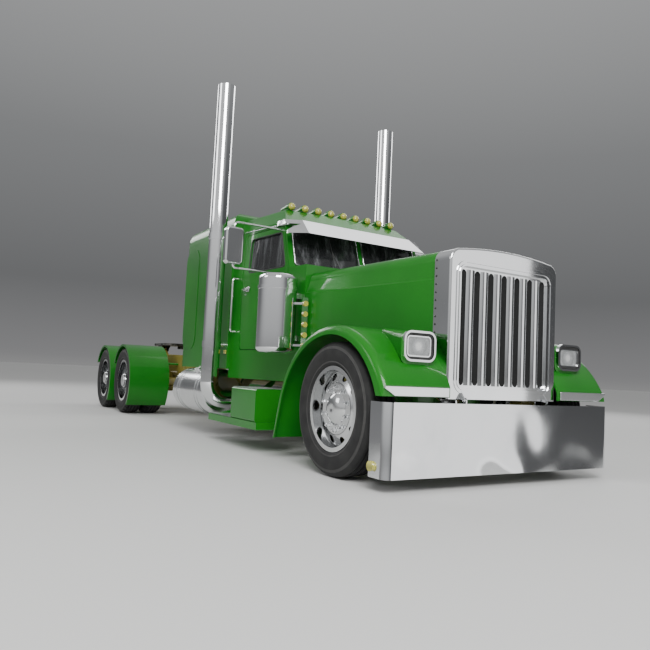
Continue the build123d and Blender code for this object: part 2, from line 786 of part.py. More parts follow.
with BuildPart() as fifth_wheel:
    with BuildSketch(Plane.XY.offset(plate_top - plate_thickness)):
        with Locations((x_fifth_wheel, 0)):
            RectangleRounded(plate_length, plate_width, 130)
        with BuildLine():
            Polyline((x_fifth_wheel - plate_length / 2 - 1, throat_mouth / 2), (x_fifth_wheel - 130,
                                                                                throat_width / 2),
                     (x_fifth_wheel - 130, -throat_width / 2),
                     (x_fifth_wheel - plate_length / 2 - 1, -throat_mouth / 2), close=True)
        make_face(mode=Mode.SUBTRACT)
    extrude(amount=plate_thickness)
    with BuildSketch(Plane.XY.offset(plate_top - plate_thickness - plate_skirt)):
        with Locations((x_fifth_wheel, 0)):
            Circle(jaw_block_radius)
    extrude(amount=plate_skirt)
    with BuildSketch(Plane.XY.offset(plate_top)):
        with Locations((x_fifth_wheel, 0)):
            Circle(jaw_radius)
    extrude(amount=-plate_thickness - plate_skirt, mode=Mode.SUBTRACT)
    for first_y, last_y in ((pivot_y - pedestal_gap - 40, pivot_y - pedestal_gap),
                            (pivot_y + pedestal_width + pedestal_gap,
                             pivot_y + pedestal_width + pedestal_gap + 40)):
        for hand in (1, -1):
            start = first_y if hand > 0 else -last_y
            with BuildSketch(Plane.XZ.offset(start)):
                with BuildLine():
                    Polyline((x_fifth_wheel - 130, plate_top - plate_thickness), (x_fifth_wheel - 45,
                                                                                  pivot_z),
                             (x_fifth_wheel + 45, pivot_z), (x_fifth_wheel + 130,
                                                             plate_top - plate_thickness),
                             close=True)
                make_face()
                with Locations((x_fifth_wheel, pivot_z)):
                    Circle(45)
            extrude(amount=last_y - first_y)
    for hand in (1, -1):
        first_y = pivot_y - pedestal_gap - 20 if hand > 0 else -pivot_y - pedestal_width - 24
        with BuildSketch(Plane.XZ.offset(first_y)):
            with Locations((x_fifth_wheel, pivot_z)):
                Circle(pivot_radius)
        extrude(amount=pedestal_width + 2 * pedestal_gap + 36)
keep(fifth_wheel, "fifth_wheel")

# Tail lamps: two round red lamps a side in boxes under the frame's end, with the mud flaps' hangers
tail_lamp_radius = 52
tail_lamp_depth = 60
tail_box_width = 290
tail_box_height = 130
tail_box_z = rail_bottom + 65
with BuildPart() as tail_lamps:
    with BuildSketch(Plane.YZ.offset(x_frame_end)):
        with Locations((-rail_y - tail_box_width / 2, tail_box_z)):
            Rectangle(tail_box_width, tail_box_height)
    extrude(amount=tail_lamp_depth)
    with BuildSketch(Plane.YZ.offset(x_frame_end)):
        with Locations((-rail_y - tail_box_width * 0.27, tail_box_z), (-rail_y - tail_box_width * 0.73,
                                                                       tail_box_z)):
            Circle(tail_lamp_radius)
    extrude(amount=-tail_lens_depth)
    mirror(about=Plane.XZ)
keep(tail_lamps, "tail_lamps")


# Hood: one moulded shell, open below over the engine and cut out above the fenders
with BuildPart() as hood:
    add(hood_form(0, 0))
    add(hood_form(hood_sheet, 30), mode=Mode.SUBTRACT)
    extrude(fender_region(0, 200), amount=hood_rear_width, both=True, mode=Mode.SUBTRACT)
keep(hood, "hood")

# Front fenders: rounded pontoons with a turned-down lip, with a headlamp pod on the front of each
lamp_pod_margin = 14
lamp_pod_drop = 30
lamp_tail_z = 1125


def pontoon(inset, outer_y, skirt_drop):
    """Solid under a fender's crown, rounded along its outer edge."""
    with BuildPart() as form:
        extrude(fender_region(inset, skirt_drop).moved(Location((0, -fender_inner_y + inset, 0))),
                amount=outer_y - fender_inner_y + inset)
        outer_face = form.faces().sort_by(Axis.Y)[0]
        fillet([e for e in outer_face.edges() if e.geom_type == GeomType.CIRCLE], fender_lip_round - inset)
    return form.part


with BuildPart() as front_fenders:
    add(pontoon(0, fender_outer_y, 0))
    add(pontoon(fender_sheet, fender_outer_y - fender_sheet, 20), mode=Mode.SUBTRACT)
    extrude(arch_region(), amount=fender_outer_y + 1, both=True, mode=Mode.SUBTRACT)
    with BuildPart(mode=Mode.PRIVATE) as pod:
        with BuildSketch(Plane.YZ.offset(x_steer + lamp_face_reach)):
            with Locations((-lamp_y, lamp_z - lamp_pod_drop / 2)):
                RectangleRounded(lamp_width + 2 * lamp_pod_margin, lamp_height + lamp_pod_drop, lamp_corner)
        with BuildSketch(Plane.YZ.offset(x_steer + lamp_pod_tail_reach)):
            with Locations((-lamp_y, lamp_tail_z)):
                RectangleRounded(lamp_width * lamp_pod_tail_share, lamp_height * lamp_pod_tail_share,
                                 lamp_corner * lamp_pod_tail_share)
        loft(ruled=True)
        extrude(fender_region(fender_sheet / 2, 0), amount=fender_outer_y, both=True, mode=Mode.SUBTRACT)
    add(pod.part)
    mirror(about=Plane.XZ)
keep(front_fenders, "front_fenders")

# Headlamps: three nested bright frames stepping down to a domed lens, on a common bed
x_lamp_face = x_steer + lamp_face_reach
# outer inset, inner inset and height of each frame, measured from the lamp's edge
lamp_frames = (
    (-lamp_bezel_overlap, lamp_lens_inset, lamp_bezel_bottom),
    (-lamp_bezel_overlap, 8, 30),
    (14, 22, 22),
    (28, lamp_lens_inset, 15),
)
with BuildPart() as headlamps:
    for outer_inset, inner_inset, height in lamp_frames:
        with BuildSketch(Plane.YZ.offset(x_lamp_face)):
            with Locations((-lamp_y, lamp_z)):
                RectangleRounded(lamp_width - 2 * outer_inset, lamp_height - 2 * outer_inset,
                                 lamp_corner - outer_inset)
                RectangleRounded(lamp_width - 2 * inner_inset, lamp_height - 2 * inner_inset,
                                 lamp_corner - inner_inset, mode=Mode.SUBTRACT)
        extrude(amount=height)
    mirror(about=Plane.XZ)
keep(headlamps, "headlamps")

with BuildPart() as headlamp_lenses:
    with BuildSketch(Plane.YZ.offset(x_lamp_face)):
        with Locations((-lamp_y, lamp_z)):
            RectangleRounded(lamp_width - 2 * lamp_lens_inset - 2 * seat_gap,
                             lamp_height - 2 * lamp_lens_inset - 2 * seat_gap, lamp_corner - lamp_lens_inset)
    extrude(amount=lamp_glass)
    fillet(faces().sort_by(Axis.X)[-1].edges(), lamp_glass_round)
    mirror(about=Plane.XZ)
keep(headlamp_lenses, "headlamp_lenses")

# Radiator shell: a deep surround with a doubled bead round the grille's opening and two hinge lugs
hinge_lug_y = rail_y + bumper_bracket + hood_lug_gap
hinge_lug_radius = 18
with BuildPart() as grille_shell:
    with BuildSketch(Plane.YZ.offset(x_shell_back)):
        with BuildLine():
            shell_outline(0)
        make_face()
    extrude(amount=shell_depth)
    fillet([e for e in edges() if e.center().X > x_shell_front - 1 and e.center().Z > shell_bottom + 5],
           shell_edge_round)
    with BuildSketch(Plane.YZ.offset(x_shell_back)):
        with BuildLine():
            shell_outline(shell_sheet)
        make_face()
    extrude(amount=shell_depth - shell_front_plate, mode=Mode.SUBTRACT)
    with BuildSketch(Plane.YZ.offset(x_shell_back)):
        with Locations((0, shell_bottom)):
            Rectangle(shell_width - 2 * shell_sheet, 4 * shell_sheet)
    extrude(amount=shell_depth - shell_front_plate, mode=Mode.SUBTRACT)
    with BuildSketch(Plane.YZ.offset(x_shell_front)):
        with Locations((0, (grille_bottom + grille_top) / 2)):
            for step in (1, 3):
                RectangleRounded(grille_width + 2 * step * bead_ring_width, grille_top - grille_bottom
                                 + 2 * step * bead_ring_width, grille_corner + step * bead_ring_width)
                if step == 3:
                    RectangleRounded(grille_width + 4 * bead_ring_width, grille_top - grille_bottom
                                     + 4 * bead_ring_width, grille_corner + 2 * bead_ring_width,
                                     mode=Mode.SUBTRACT)
                    RectangleRounded(grille_width + 2 * bead_ring_width, grille_top - grille_bottom
                                     + 2 * bead_ring_width, grille_corner + bead_ring_width)
    extrude(amount=bead_ring_height)
    with BuildSketch(Plane.YZ.offset(x_shell_front - shell_front_plate)):
        with Locations((0, (grille_bottom + grille_top) / 2)):
            RectangleRounded(grille_width, grille_top - grille_bottom, grille_corner)
    extrude(amount=shell_front_plate + bead_ring_height, mode=Mode.SUBTRACT)
    for start in (hinge_lug_y, -hinge_lug_y - hood_lug_thickness):
        with BuildSketch(Plane.XZ.offset(start)):
            with BuildLine():
                Polyline((x_shell_front - 20, shell_bottom + 60), (x_shell_front, shell_bottom + 60),
                         (x_hood_pivot + hinge_lug_radius * 0.8, hood_pivot_z + hinge_lug_radius * 0.6),
                         (x_hood_pivot, hood_pivot_z - hinge_lug_radius), (x_shell_front - 20, shell_bottom),
                         close=True)
            make_face()
            with Locations((x_hood_pivot, hood_pivot_z)):
                Circle(hinge_lug_radius)
                Circle(hood_pin_radius + bearing_gap, mode=Mode.SUBTRACT)
        extrude(amount=hood_lug_thickness)
keep(grille_shell, "grille_shell")

# Grille: a plate with seven round-ended slots between convex bright bars
grille_end_gap = 13
grille_slot_height = grille_top - grille_bottom - 2 * grille_slot_margin
grille_middle_z = (grille_bottom + grille_top) / 2
x_grille_plate = x_shell_front - shell_front_plate - seat_gap
slot_places = [((n - (grille_slots - 1) / 2) * grille_slot_pitch,
                grille_middle_z) for n in range(grille_slots)]
with BuildPart() as grille_bars:
    with BuildSketch(Plane.YZ.offset(x_grille_plate)):
        with Locations((0, grille_middle_z)):
            RectangleRounded(grille_width + 2 * grille_seat, grille_top - grille_bottom + 2 * grille_seat,
                             grille_corner)
        with Locations(*slot_places):
            SlotOverall(grille_slot_height, grille_slot_width, rotation=90, mode=Mode.SUBTRACT)
    extrude(amount=-grille_plate)
    with BuildSketch(Plane.XY.offset(grille_bottom + grille_slot_margin)):
        for n in range(grille_slots + 1):
            middle = (n - grille_slots / 2) * grille_slot_pitch
            half = (grille_slot_pitch - grille_slot_width) / 2
            left = min(middle + half, grille_width / 2 - grille_end_gap)
            right = max(middle - half, grille_end_gap - grille_width / 2)
            crown = grille_bar_crown * (left - right) / (2 * half)
            with BuildLine():
                ThreePointArc((x_grille_plate, right), (x_grille_plate + crown, (left + right) / 2),
                              (x_grille_plate, left))
                Line((x_grille_plate, left), (x_grille_plate, right))
            make_face()
    extrude(amount=grille_slot_height)
keep(grille_bars, "grille_bars")


def half_width_at(x):
    """Half width of the cab, which widens from the firewall to its back."""
    share = (x_firewall - x) / (x_firewall - x_cab_back)
    return (cab_front_width + (cab_back_width - cab_front_width) * share) / 2


def greenhouse_corners(share):
    """Centre, front side and back corners in plan, at a share of the height from the belt to the header."""
    widening = (cab_back_width - cab_front_width) / 2 / (x_firewall - x_cab_back)
    foot_half = half_width_at(x_windshield - windshield_sweep)
    centre_x = x_windshield - windshield_rake * share
    lean = tumblehome * share
    side_half = (half_width_at(centre_x) - lean) / (1 - widening * windshield_sweep / foot_half)
    side_x = centre_x - windshield_sweep * side_half / foot_half
    return (centre_x, 0), (side_x, side_half), (x_cab_back, cab_back_width / 2 - lean)


def greenhouse_plan(share, inset, drop=0):
    """Face across the cab's upper part."""
    centre, side, back = greenhouse_corners(share)
    z = belt_z + (header_z - belt_z) * share - drop
    with BuildSketch(Plane.XY.offset(z)) as plan:
        with BuildLine():
            Polyline(centre, side, back, (back[0], -back[1]), (side[0], -side[1]), close=True)
        make_face()
        if inset:
            offset(amount=-inset, kind=Kind.INTERSECTION)
    return plan.sketch


def cab_form(inset, low_z, lid):
    """Solid that the cab's outer or inner skin encloses, from a low level up to the header."""
    with BuildPart() as form:
        with BuildSketch(Plane.XY.offset(low_z)):
            with BuildLine():
                Polyline((x_firewall, cab_front_width / 2), (x_cab_back, cab_back_width / 2),
                         (x_cab_back, -cab_back_width / 2), (x_firewall, -cab_front_width / 2), close=True)
            make_face()
            if inset:
                offset(amount=-inset, kind=Kind.INTERSECTION)
        extrude(amount=belt_z - lid - low_z)
        if lid:
            extrude(greenhouse_plan(0, inset, lid), amount=lid)
        add(greenhouse_plan(0, inset))
        add(greenhouse_plan(1, inset))
        loft(ruled=True)
    return form.part


def door_outline(margin):
    """Face in the XZ plane round the door; its front edge follows the windshield's pillar."""
    rake = windshield_rake / (header_z - belt_z)
    front = x_steer - door_front_setback + margin
    rear = x_steer - door_rear_setback - margin
    top = door_top + margin
    with BuildSketch(Plane.XZ) as outline:
        with BuildLine():
            Polyline((front, door_bottom - margin), (front, belt_z), (front - (top - belt_z) * rake, top),
                     (rear, top), (rear, door_bottom - margin), close=True)
        make_face()
        fillet([v for v in outline.vertices() if abs(v.Z - belt_z) > 1], door_round)
    return outline.sketch


def window_outline(margin):
    """Face in the XZ plane round the door's window."""
    rake = windshield_rake / (header_z - belt_z)
    front = x_steer - door_front_setback - window_front_margin
    with BuildSketch(Plane.XZ) as outline:
        with BuildLine():
            Polyline((front - (window_bottom - belt_z) * rake, window_bottom),
                     (front - (window_top - belt_z) * rake, window_top),
                     (x_steer - window_rear_setback, window_top), (x_steer - window_rear_setback,
                                                                   window_bottom),
                     close=True)
        make_face()
        fillet(outline.vertices(), window_round)
        if margin:
            offset(amount=-margin)
    return outline.sketch


# Windshield: two flat panes that meet at a centre post
pane_plane_corners = [greenhouse_corners(share) for share in (0, 1)]
(foot_centre, foot_side, _), (head_centre, head_side, _) = pane_plane_corners
pane_origin = Vector(foot_centre[0], 0, belt_z)
pane_along = Vector(foot_side[0], foot_side[1], belt_z) - pane_origin
pane_up = Vector(head_centre[0], 0, header_z) - pane_origin
pane_plane = Plane(origin=pane_origin, x_dir=pane_along, z_dir=pane_along.cross(pane_up))
pane_head_side = pane_plane.to_local_coords(Vector(head_side[0], head_side[1], header_z))
pane_head_centre = pane_plane.to_local_coords(Vector(head_centre[0], 0, header_z))


def pane_outline(margin, depth):
    """Face of the left windshield pane, set back from the cab's skin."""
    low = windshield_sill + margin
    high = pane_head_side.Y - windshield_header - margin
    with BuildSketch(pane_plane.offset(-depth)) as outline:
        with BuildLine():
            Polyline((windshield_post + margin, low), (pane_along.length - windshield_pillar - margin, low),
                     (pane_head_side.X - windshield_pillar - margin, high),
                     (pane_head_centre.X + windshield_post + margin, high), close=True)
        make_face()
        fillet(outline.vertices(), window_round)
    return outline.sketch


pane_depth = 20
with BuildPart() as windshield:
    extrude(pane_outline(seat_gap, pane_depth), amount=-glass_thickness)
    mirror(about=Plane.XZ)
keep(windshield, "windshield")

# Door hinges: two a side, their pins just outside the skin in the gap ahead of the door
door_hinge_z = (1210, 1690)
hinge_barrel_radius = 11
hinge_pin_radius = 5
hinge_knuckle = 30
hinge_stand_out = 8
hinge_clearance = 1.5
x_door_hinge = x_steer - door_front_setback + panel_gap / 2
y_door_hinge = half_width_at(x_door_hinge) + hinge_stand_out


def hinge_barrels(radius, knuckles):
    """Upright barrels on the right door's hinge axis, from a table of knuckles: low and high offsets."""
    with BuildPart() as barrels:
        for middle in door_hinge_z:
            for low, high in knuckles:
                with BuildSketch(Plane.XY.offset(middle + low)):
                    with Locations((x_door_hinge, -y_door_hinge)):
                        Circle(radius)
                extrude(amount=high - low)
    return barrels.part


door_knuckle = ((-hinge_knuckle / 2, hinge_knuckle / 2),)
cab_knuckles = ((-hinge_knuckle * 1.5, -hinge_knuckle / 2 - bearing_gap),
                (hinge_knuckle / 2 + bearing_gap, hinge_knuckle * 1.5))
whole_hinge = ((-hinge_knuckle * 1.5, hinge_knuckle * 1.5),)

# Cab body: floor, firewall, pillars and side walls; the doors are cut out of the same walls
cab_mount_width = 70
walkway_round = 60
under_floor_y = cab_front_width / 2 - cab_wall
door_inner_y = cab_front_width / 2 - cab_wall - tumblehome - 2 * panel_gap
with BuildPart() as cab_skin:
    add(cab_form(0, cab_sill_z, 0))
    add(cab_form(cab_wall, floor_top, cab_wall), mode=Mode.SUBTRACT)
with BuildPart() as cab_body:
    add(cab_skin.part)
    with BuildSketch(Plane.XY.offset(cab_sill_z)):
        with Locations(((x_firewall + x_cab_back) / 2, 0)):
            Rectangle(2 * (x_firewall - x_cab_back), 2 * under_floor_y)
    extrude(amount=floor_bottom - cab_sill_z, mode=Mode.SUBTRACT)
    with BuildPart(mode=Mode.PRIVATE) as doorway:
        extrude(Pos(0, -door_inner_y, 0) * door_outline(panel_gap), amount=cab_back_width)
        add(cab_form(cab_wall + panel_gap, cab_sill_z - cab_wall, 0), mode=Mode.SUBTRACT)
    add([doorway.part, mirror(doorway.part, about=Plane.XZ, mode=Mode.PRIVATE)], mode=Mode.SUBTRACT)
    extrude(pane_outline(0, 0), amount=cab_wall * 2, both=True, mode=Mode.SUBTRACT)
    extrude(mirror(pane_outline(0, 0), about=Plane.XZ, mode=Mode.PRIVATE), amount=cab_wall * 2, both=True,
            mode=Mode.SUBTRACT)
    with BuildSketch(Plane.YZ.offset(x_cab_back)):
        with Locations((0, (floor_top + walkway_top) / 2)):
            RectangleRounded(walkway_width, walkway_top - floor_top, walkway_round)
    extrude(amount=2 * cab_wall, mode=Mode.SUBTRACT)
    with BuildSketch(Plane.XY.offset(frame_top)):
        for x in (x_firewall - 250, x_cab_back + 150):
            for hand in (1, -1):
                with Locations((x, hand * (rail_y - cab_mount_width / 2))):
                    Rectangle(2 * cab_mount_width, cab_mount_width)
    extrude(amount=floor_bottom - frame_top)
    hinge_relief = hinge_barrels(hinge_barrel_radius + hinge_clearance, door_knuckle)
    cab_barrels = hinge_barrels(hinge_barrel_radius, cab_knuckles)
    hinge_pins = hinge_barrels(hinge_pin_radius, whole_hinge)
    add([hinge_relief, mirror(hinge_relief, about=Plane.XZ, mode=Mode.PRIVATE)], mode=Mode.SUBTRACT)
    add([cab_barrels, mirror(cab_barrels, about=Plane.XZ, mode=Mode.PRIVATE)])
    add([hinge_pins, mirror(hinge_pins, about=Plane.XZ, mode=Mode.PRIVATE)])
keep(cab_body, "cab_body")

# Cab roof: a crowned cap on the header, with nine torpedo lamp bodies along its brow
roof_lamp_count = 9
roof_lamp_pitch = 167
roof_lamp_radius = 43
roof_lamp_length = 250
roof_lamp_collar = 30
roof_lamp_sink = 2
roof_lamp_foot = 44
roof_lamp_setback = 45
roof_lamp_z = roof_top + roof_lamp_radius - roof_lamp_sink
x_roof_brow = x_windshield - windshield_rake - roof_front_slope
x_roof_lamp = x_roof_brow - roof_lamp_setback
roof_lamp_places = [(n - (roof_lamp_count - 1) / 2) * roof_lamp_pitch for n in range(roof_lamp_count)]


def roof_form(inset):
    """Solid of the roof's outer or inner skin."""
    centre, side, back = greenhouse_corners(1)
    with BuildPart() as form:
        add(greenhouse_plan(1, inset))
        with BuildSketch(Plane.XY.offset(roof_top - inset)):
            with BuildLine():
                Polyline((centre[0] - roof_front_slope, 0), (side[0] - roof_front_slope,
                                                             side[1] - roof_side_slope),
                         (back[0], back[1] - roof_side_slope), (back[0], roof_side_slope - back[1]),
                         (side[0] - roof_front_slope, roof_side_slope - side[1]), close=True)
            make_face()
            if inset:
                offset(amount=-inset, kind=Kind.INTERSECTION)
        loft(ruled=True)
        if not inset:
            top = form.faces().sort_by(Axis.Z)[-1]
            fillet([e for e in top.edges() if e.center().X > x_cab_back + 1], roof_round)
    return form.part


with BuildPart() as cab_roof:
    add(roof_form(0))
    add(roof_form(cab_wall), mode=Mode.SUBTRACT)
    for y in roof_lamp_places:
        with BuildSketch(Plane.XZ.offset(-y)):
            with BuildLine():
                Polyline((x_roof_lamp - roof_lamp_length, roof_lamp_z), (x_roof_lamp, roof_lamp_z),
                         (x_roof_lamp, roof_lamp_z + roof_lamp_radius),
                         (x_roof_lamp - roof_lamp_collar, roof_lamp_z + roof_lamp_radius))
                Spline((x_roof_lamp - roof_lamp_collar, roof_lamp_z + roof_lamp_radius),
                       (x_roof_lamp - roof_lamp_length * 0.65, roof_lamp_z + roof_lamp_radius * 0.72),
                       (x_roof_lamp - roof_lamp_length, roof_lamp_z), tangents=((-1, 0), (-1, -2.5)))
            make_face()
        revolve(axis=Axis((0, y, roof_lamp_z), (1, 0, 0)))
        with BuildSketch(Plane.XY.offset(roof_top - roof_wall)):
            with Locations((x_roof_lamp - roof_lamp_length * 0.35, y)):
                SlotOverall(roof_lamp_length * 0.6, roof_lamp_foot)
        extrude(amount=roof_lamp_z - roof_top + roof_wall - roof_lamp_radius / 2)
keep(cab_roof, "cab_roof")

# Air cleaners: canisters beside the cowl with a lid band, brackets and an upright bar of five lamps
cleaner_setback = 1222
cleaner_y = 1072
cleaner_radius = 187
cleaner_bottom = 970
cleaner_top = 1730
cleaner_round = 52
cleaner_band_z = 1595
cleaner_band_height = 32
cleaner_band_step = 8
cowl_lamps = 5
cowl_lamp_pitch = 100
cowl_lamp_first_z = 1052
cowl_lamp_radius = 26
cowl_lamp_depth = 16
cowl_bar_y = 872
cowl_bar_width = 62
cowl_bar_thickness = 14
cowl_bar_setback = 1025
cowl_bar_margin = 60
x_cleaner = x_steer - cleaner_setback
cowl_lamp_places = [cowl_lamp_first_z + n * cowl_lamp_pitch for n in range(cowl_lamps)]
with BuildPart() as air_cleaners:
    with BuildSketch(Plane.XY.offset(cleaner_bottom)):
        with Locations((x_cleaner, -cleaner_y)):
            Circle(cleaner_radius)
    extrude(amount=cleaner_top - cleaner_bottom)
    fillet(edges().filter_by(GeomType.CIRCLE), cleaner_round)
    with BuildSketch(Plane.XY.offset(cleaner_band_z - cleaner_band_height / 2)):
        with Locations((x_cleaner, -cleaner_y)):
            Circle(cleaner_radius + cleaner_band_step)
    extrude(amount=cleaner_band_height)
    for z in (cleaner_bottom + 130, cleaner_top - 220):
        with BuildSketch(Plane.XY.offset(z)):
            with BuildLine():
                Polyline((x_cleaner + 60, -half_width_at(x_cleaner + 60)), (x_cleaner + 60, -cleaner_y),
                         (x_cleaner - 60, -cleaner_y), (x_cleaner - 60,
                                                        -half_width_at(x_cleaner - 60)), close=True)
            make_face()
        extrude(amount=50)
    for z in (cowl_lamp_places[0] - 10, cowl_lamp_places[-1] - 10):
        with BuildSketch(Plane.XY.offset(z)):
            with BuildLine():
                Polyline((x_steer - cowl_bar_setback, -cowl_bar_y), (x_steer - cowl_bar_setback,
                                                                     -cowl_bar_y - 25),
                         (x_cleaner + 40, -cleaner_y), (x_cleaner, -cleaner_y + 40), close=True)
            make_face()
        extrude(amount=20)
    with BuildSketch(Plane.YZ.offset(x_steer - cowl_bar_setback - cowl_bar_thickness)):
        with Locations((-cowl_bar_y, (cowl_lamp_places[0] + cowl_lamp_places[-1]) / 2)):
            RectangleRounded(cowl_bar_width,
                             cowl_lamp_places[-1] - cowl_lamp_places[0] + 2 * cowl_bar_margin, 12)
    extrude(amount=cowl_bar_thickness)
    mirror(about=Plane.XZ)
keep(air_cleaners, "air_cleaners")

# Amber lenses: on the roof lamps, the cowl bars and the bumper's ends
bumper_lamp_setback = 150
bumper_lamp_z = 178
bumper_lamp_radius = 36
bumper_lamp_depth = 20
roof_lens_bulge = 36
with BuildPart() as amber_lenses:
    for y in roof_lamp_places:
        with BuildSketch(Plane.XZ.offset(-y)):
            with BuildLine():
                Polyline((x_roof_lamp + roof_lens_bulge, roof_lamp_z), (x_roof_lamp, roof_lamp_z),
                         (x_roof_lamp, roof_lamp_z + roof_lamp_radius - 3))
                cap_arc((x_roof_lamp, roof_lamp_z + roof_lamp_radius - 3), (x_roof_lamp + roof_lens_bulge,
                                                                            roof_lamp_z))
            make_face()
        revolve(axis=Axis((0, y, roof_lamp_z), (1, 0, 0)))
    with BuildSketch(Plane.YZ.offset(x_steer - cowl_bar_setback)):
        with Locations(*[(hand * cowl_bar_y, z) for hand in (1, -1) for z in cowl_lamp_places]):
            Circle(cowl_lamp_radius)
    extrude(amount=cowl_lamp_depth)
    for start in (bumper_width / 2, -bumper_width / 2 - bumper_lamp_depth):
        with BuildSketch(Plane.XZ.offset(start)):
            with Locations((x_bumper - bumper_lamp_setback, bumper_lamp_z)):
                Circle(bumper_lamp_radius)
        extrude(amount=bumper_lamp_depth)
keep(amber_lenses, "amber_lenses")

# Sun visor: a bright folded blade over the windshield, its ends turned back to the door pillars
visor_sheet = 6
visor_low_z = 2195
visor_high_z = 2372
visor_rear_setback = 1700
visor_door_setback = 1425
visor_door_z = 2320
# height, front edge's setback, front edge's half width, end's setback and end's half width
visor_levels = (
    (visor_low_z, 1250, 740, 1385, 905),
    (visor_high_z, 1475, 700, 1560, 868),
)


def visor_form(inset):
    """Solid under the visor's outer or inner face, between its lower and upper edges."""
    with BuildPart() as form:
        for z, front_setback, front_half, end_setback, end_half in visor_levels:
            with BuildSketch(Plane.XY.offset(z)):
                with BuildLine():
                    Polyline((x_steer - front_setback, front_half), (x_steer - end_setback, end_half),
                             (x_steer - visor_rear_setback, end_half), (x_steer - visor_rear_setback,
                                                                        -end_half),
                             (x_steer - end_setback, -end_half), (x_steer - front_setback,
                                                                  -front_half), close=True)
                make_face()
                if inset:
                    offset(amount=-inset, kind=Kind.INTERSECTION)
        loft(ruled=True)
    return form.part


with BuildPart() as sun_visor:
    add(visor_form(0))
    add(visor_form(visor_sheet), mode=Mode.SUBTRACT)
    add(cab_form(0, cab_sill_z, 0), mode=Mode.SUBTRACT)
    add(roof_form(0), mode=Mode.SUBTRACT)
    with BuildSketch(Plane.XY.offset(visor_low_z - 1)):
        with Locations((x_steer - visor_door_setback - visor_rear_setback / 2, 0)):
            Rectangle(visor_rear_setback, 2 * cab_back_width)
    extrude(amount=visor_door_z - visor_low_z, mode=Mode.SUBTRACT)
keep(sun_visor, "sun_visor")

# Sleeper body: hollow box with rounded rear corners, open to the cab, with a raised panel on each side
def sleeper_plan(z, inset, overrun):
    """Face across the sleeper."""
    with BuildSketch(Plane.XY.offset(z)) as plan:
        with Locations(((x_cab_back + x_sleeper_back) / 2, 0)):
            Rectangle(sleeper_length - 2 * inset, sleeper_width - 2 * inset)
        fillet([v for v in plan.vertices() if v.X < x_sleeper_back + sleeper_length / 2],
               sleeper_corner - inset)
    return plan.sketch


with BuildPart() as sleeper_body:
    extrude(sleeper_plan(sleeper_skirt_z, 0, 0), amount=sleeper_seam - sleeper_skirt_z)
    extrude(sleeper_plan(floor_top, sleeper_wall, 0), amount=sleeper_seam - floor_top, mode=Mode.SUBTRACT)
    extrude(sleeper_plan(sleeper_skirt_z, sleeper_wall, 0), amount=floor_bottom - sleeper_skirt_z,
            mode=Mode.SUBTRACT)
    with BuildSketch(Plane.XY.offset(sleeper_skirt_z)):
        with Locations(((x_cab_back + x_sleeper_back) / 2, 0)):
            Rectangle(2 * sleeper_length, sleeper_width - 2 * sleeper_corner)
    extrude(amount=floor_bottom - sleeper_skirt_z, mode=Mode.SUBTRACT)
    with BuildSketch(Plane.YZ.offset(x_cab_back)):
        with Locations((0, (floor_top + walkway_top) / 2)):
            RectangleRounded(walkway_width, walkway_top - floor_top, walkway_round)
    extrude(amount=-2 * sleeper_wall, mode=Mode.SUBTRACT)
    for start in (sleeper_width / 2, -sleeper_width / 2 - side_panel_raise):
        with BuildSketch(Plane.XZ.offset(start)):
            with Locations((x_cab_back - (side_panel_front + side_panel_rear) / 2 + 30,
                            (side_panel_bottom + side_panel_top) / 2)):
                RectangleRounded(side_panel_rear - side_panel_front - 80, side_panel_top - side_panel_bottom,
                                 side_panel_round)
        extrude(amount=side_panel_raise)
    with BuildSketch(Plane.XY.offset(frame_top)):
        for x in (x_cab_back - 300, x_sleeper_back + 300):
            for hand in (1, -1):
                with Locations((x, hand * (rail_y - cab_mount_width / 2))):
                    Rectangle(2 * cab_mount_width, cab_mount_width)
    extrude(amount=floor_bottom - frame_top)
keep(sleeper_body, "sleeper_body")

with BuildPart() as sleeper_roof:
    extrude(sleeper_plan(sleeper_seam, 0, 0), amount=sleeper_top - sleeper_seam)
    fillet(faces().sort_by(Axis.Z)[-1].edges(), sleeper_shoulder)
    with BuildPart(mode=Mode.PRIVATE) as roof_void:
        extrude(sleeper_plan(sleeper_seam, sleeper_wall, 0), amount=sleeper_top - sleeper_seam - sleeper_wall)
        fillet(faces().sort_by(Axis.Z)[-1].edges(), sleeper_shoulder - sleeper_wall)
    add(roof_void.part, mode=Mode.SUBTRACT)
keep(sleeper_roof, "sleeper_roof")

# Inside: two seats, the dashboard with the steering column, and the bunk
seat_setback = 2130
seat_y = 440
seat_width = 520
seat_depth = 520
seat_height = 420
seat_back_height = 760
seat_back_thickness = 130
with BuildPart() as seats:
    with BuildSketch(Plane.XZ.offset(seat_y - seat_width / 2)):
        with BuildLine():
            x = x_steer - seat_setback
            Polyline((x + seat_depth / 2, floor_top), (x + seat_depth / 2, floor_top + seat_height),
                     (x - seat_depth / 2 + seat_back_thickness, floor_top + seat_height - 30),
                     (x - seat_depth / 2 + seat_back_thickness - 70,
                      floor_top + seat_height + seat_back_height),
                     (x - seat_depth / 2 - 50, floor_top + seat_height + seat_back_height),
                     (x - seat_depth / 2, floor_top + seat_height - 120), (x - seat_depth / 2 + 60,
                                                                           floor_top),
                     close=True)
        make_face()
        fillet([v for v in vertices() if v.Z > floor_top + seat_height + 10], 45)
    extrude(amount=seat_width)
    mirror(about=Plane.XZ)
keep(seats, "seats")

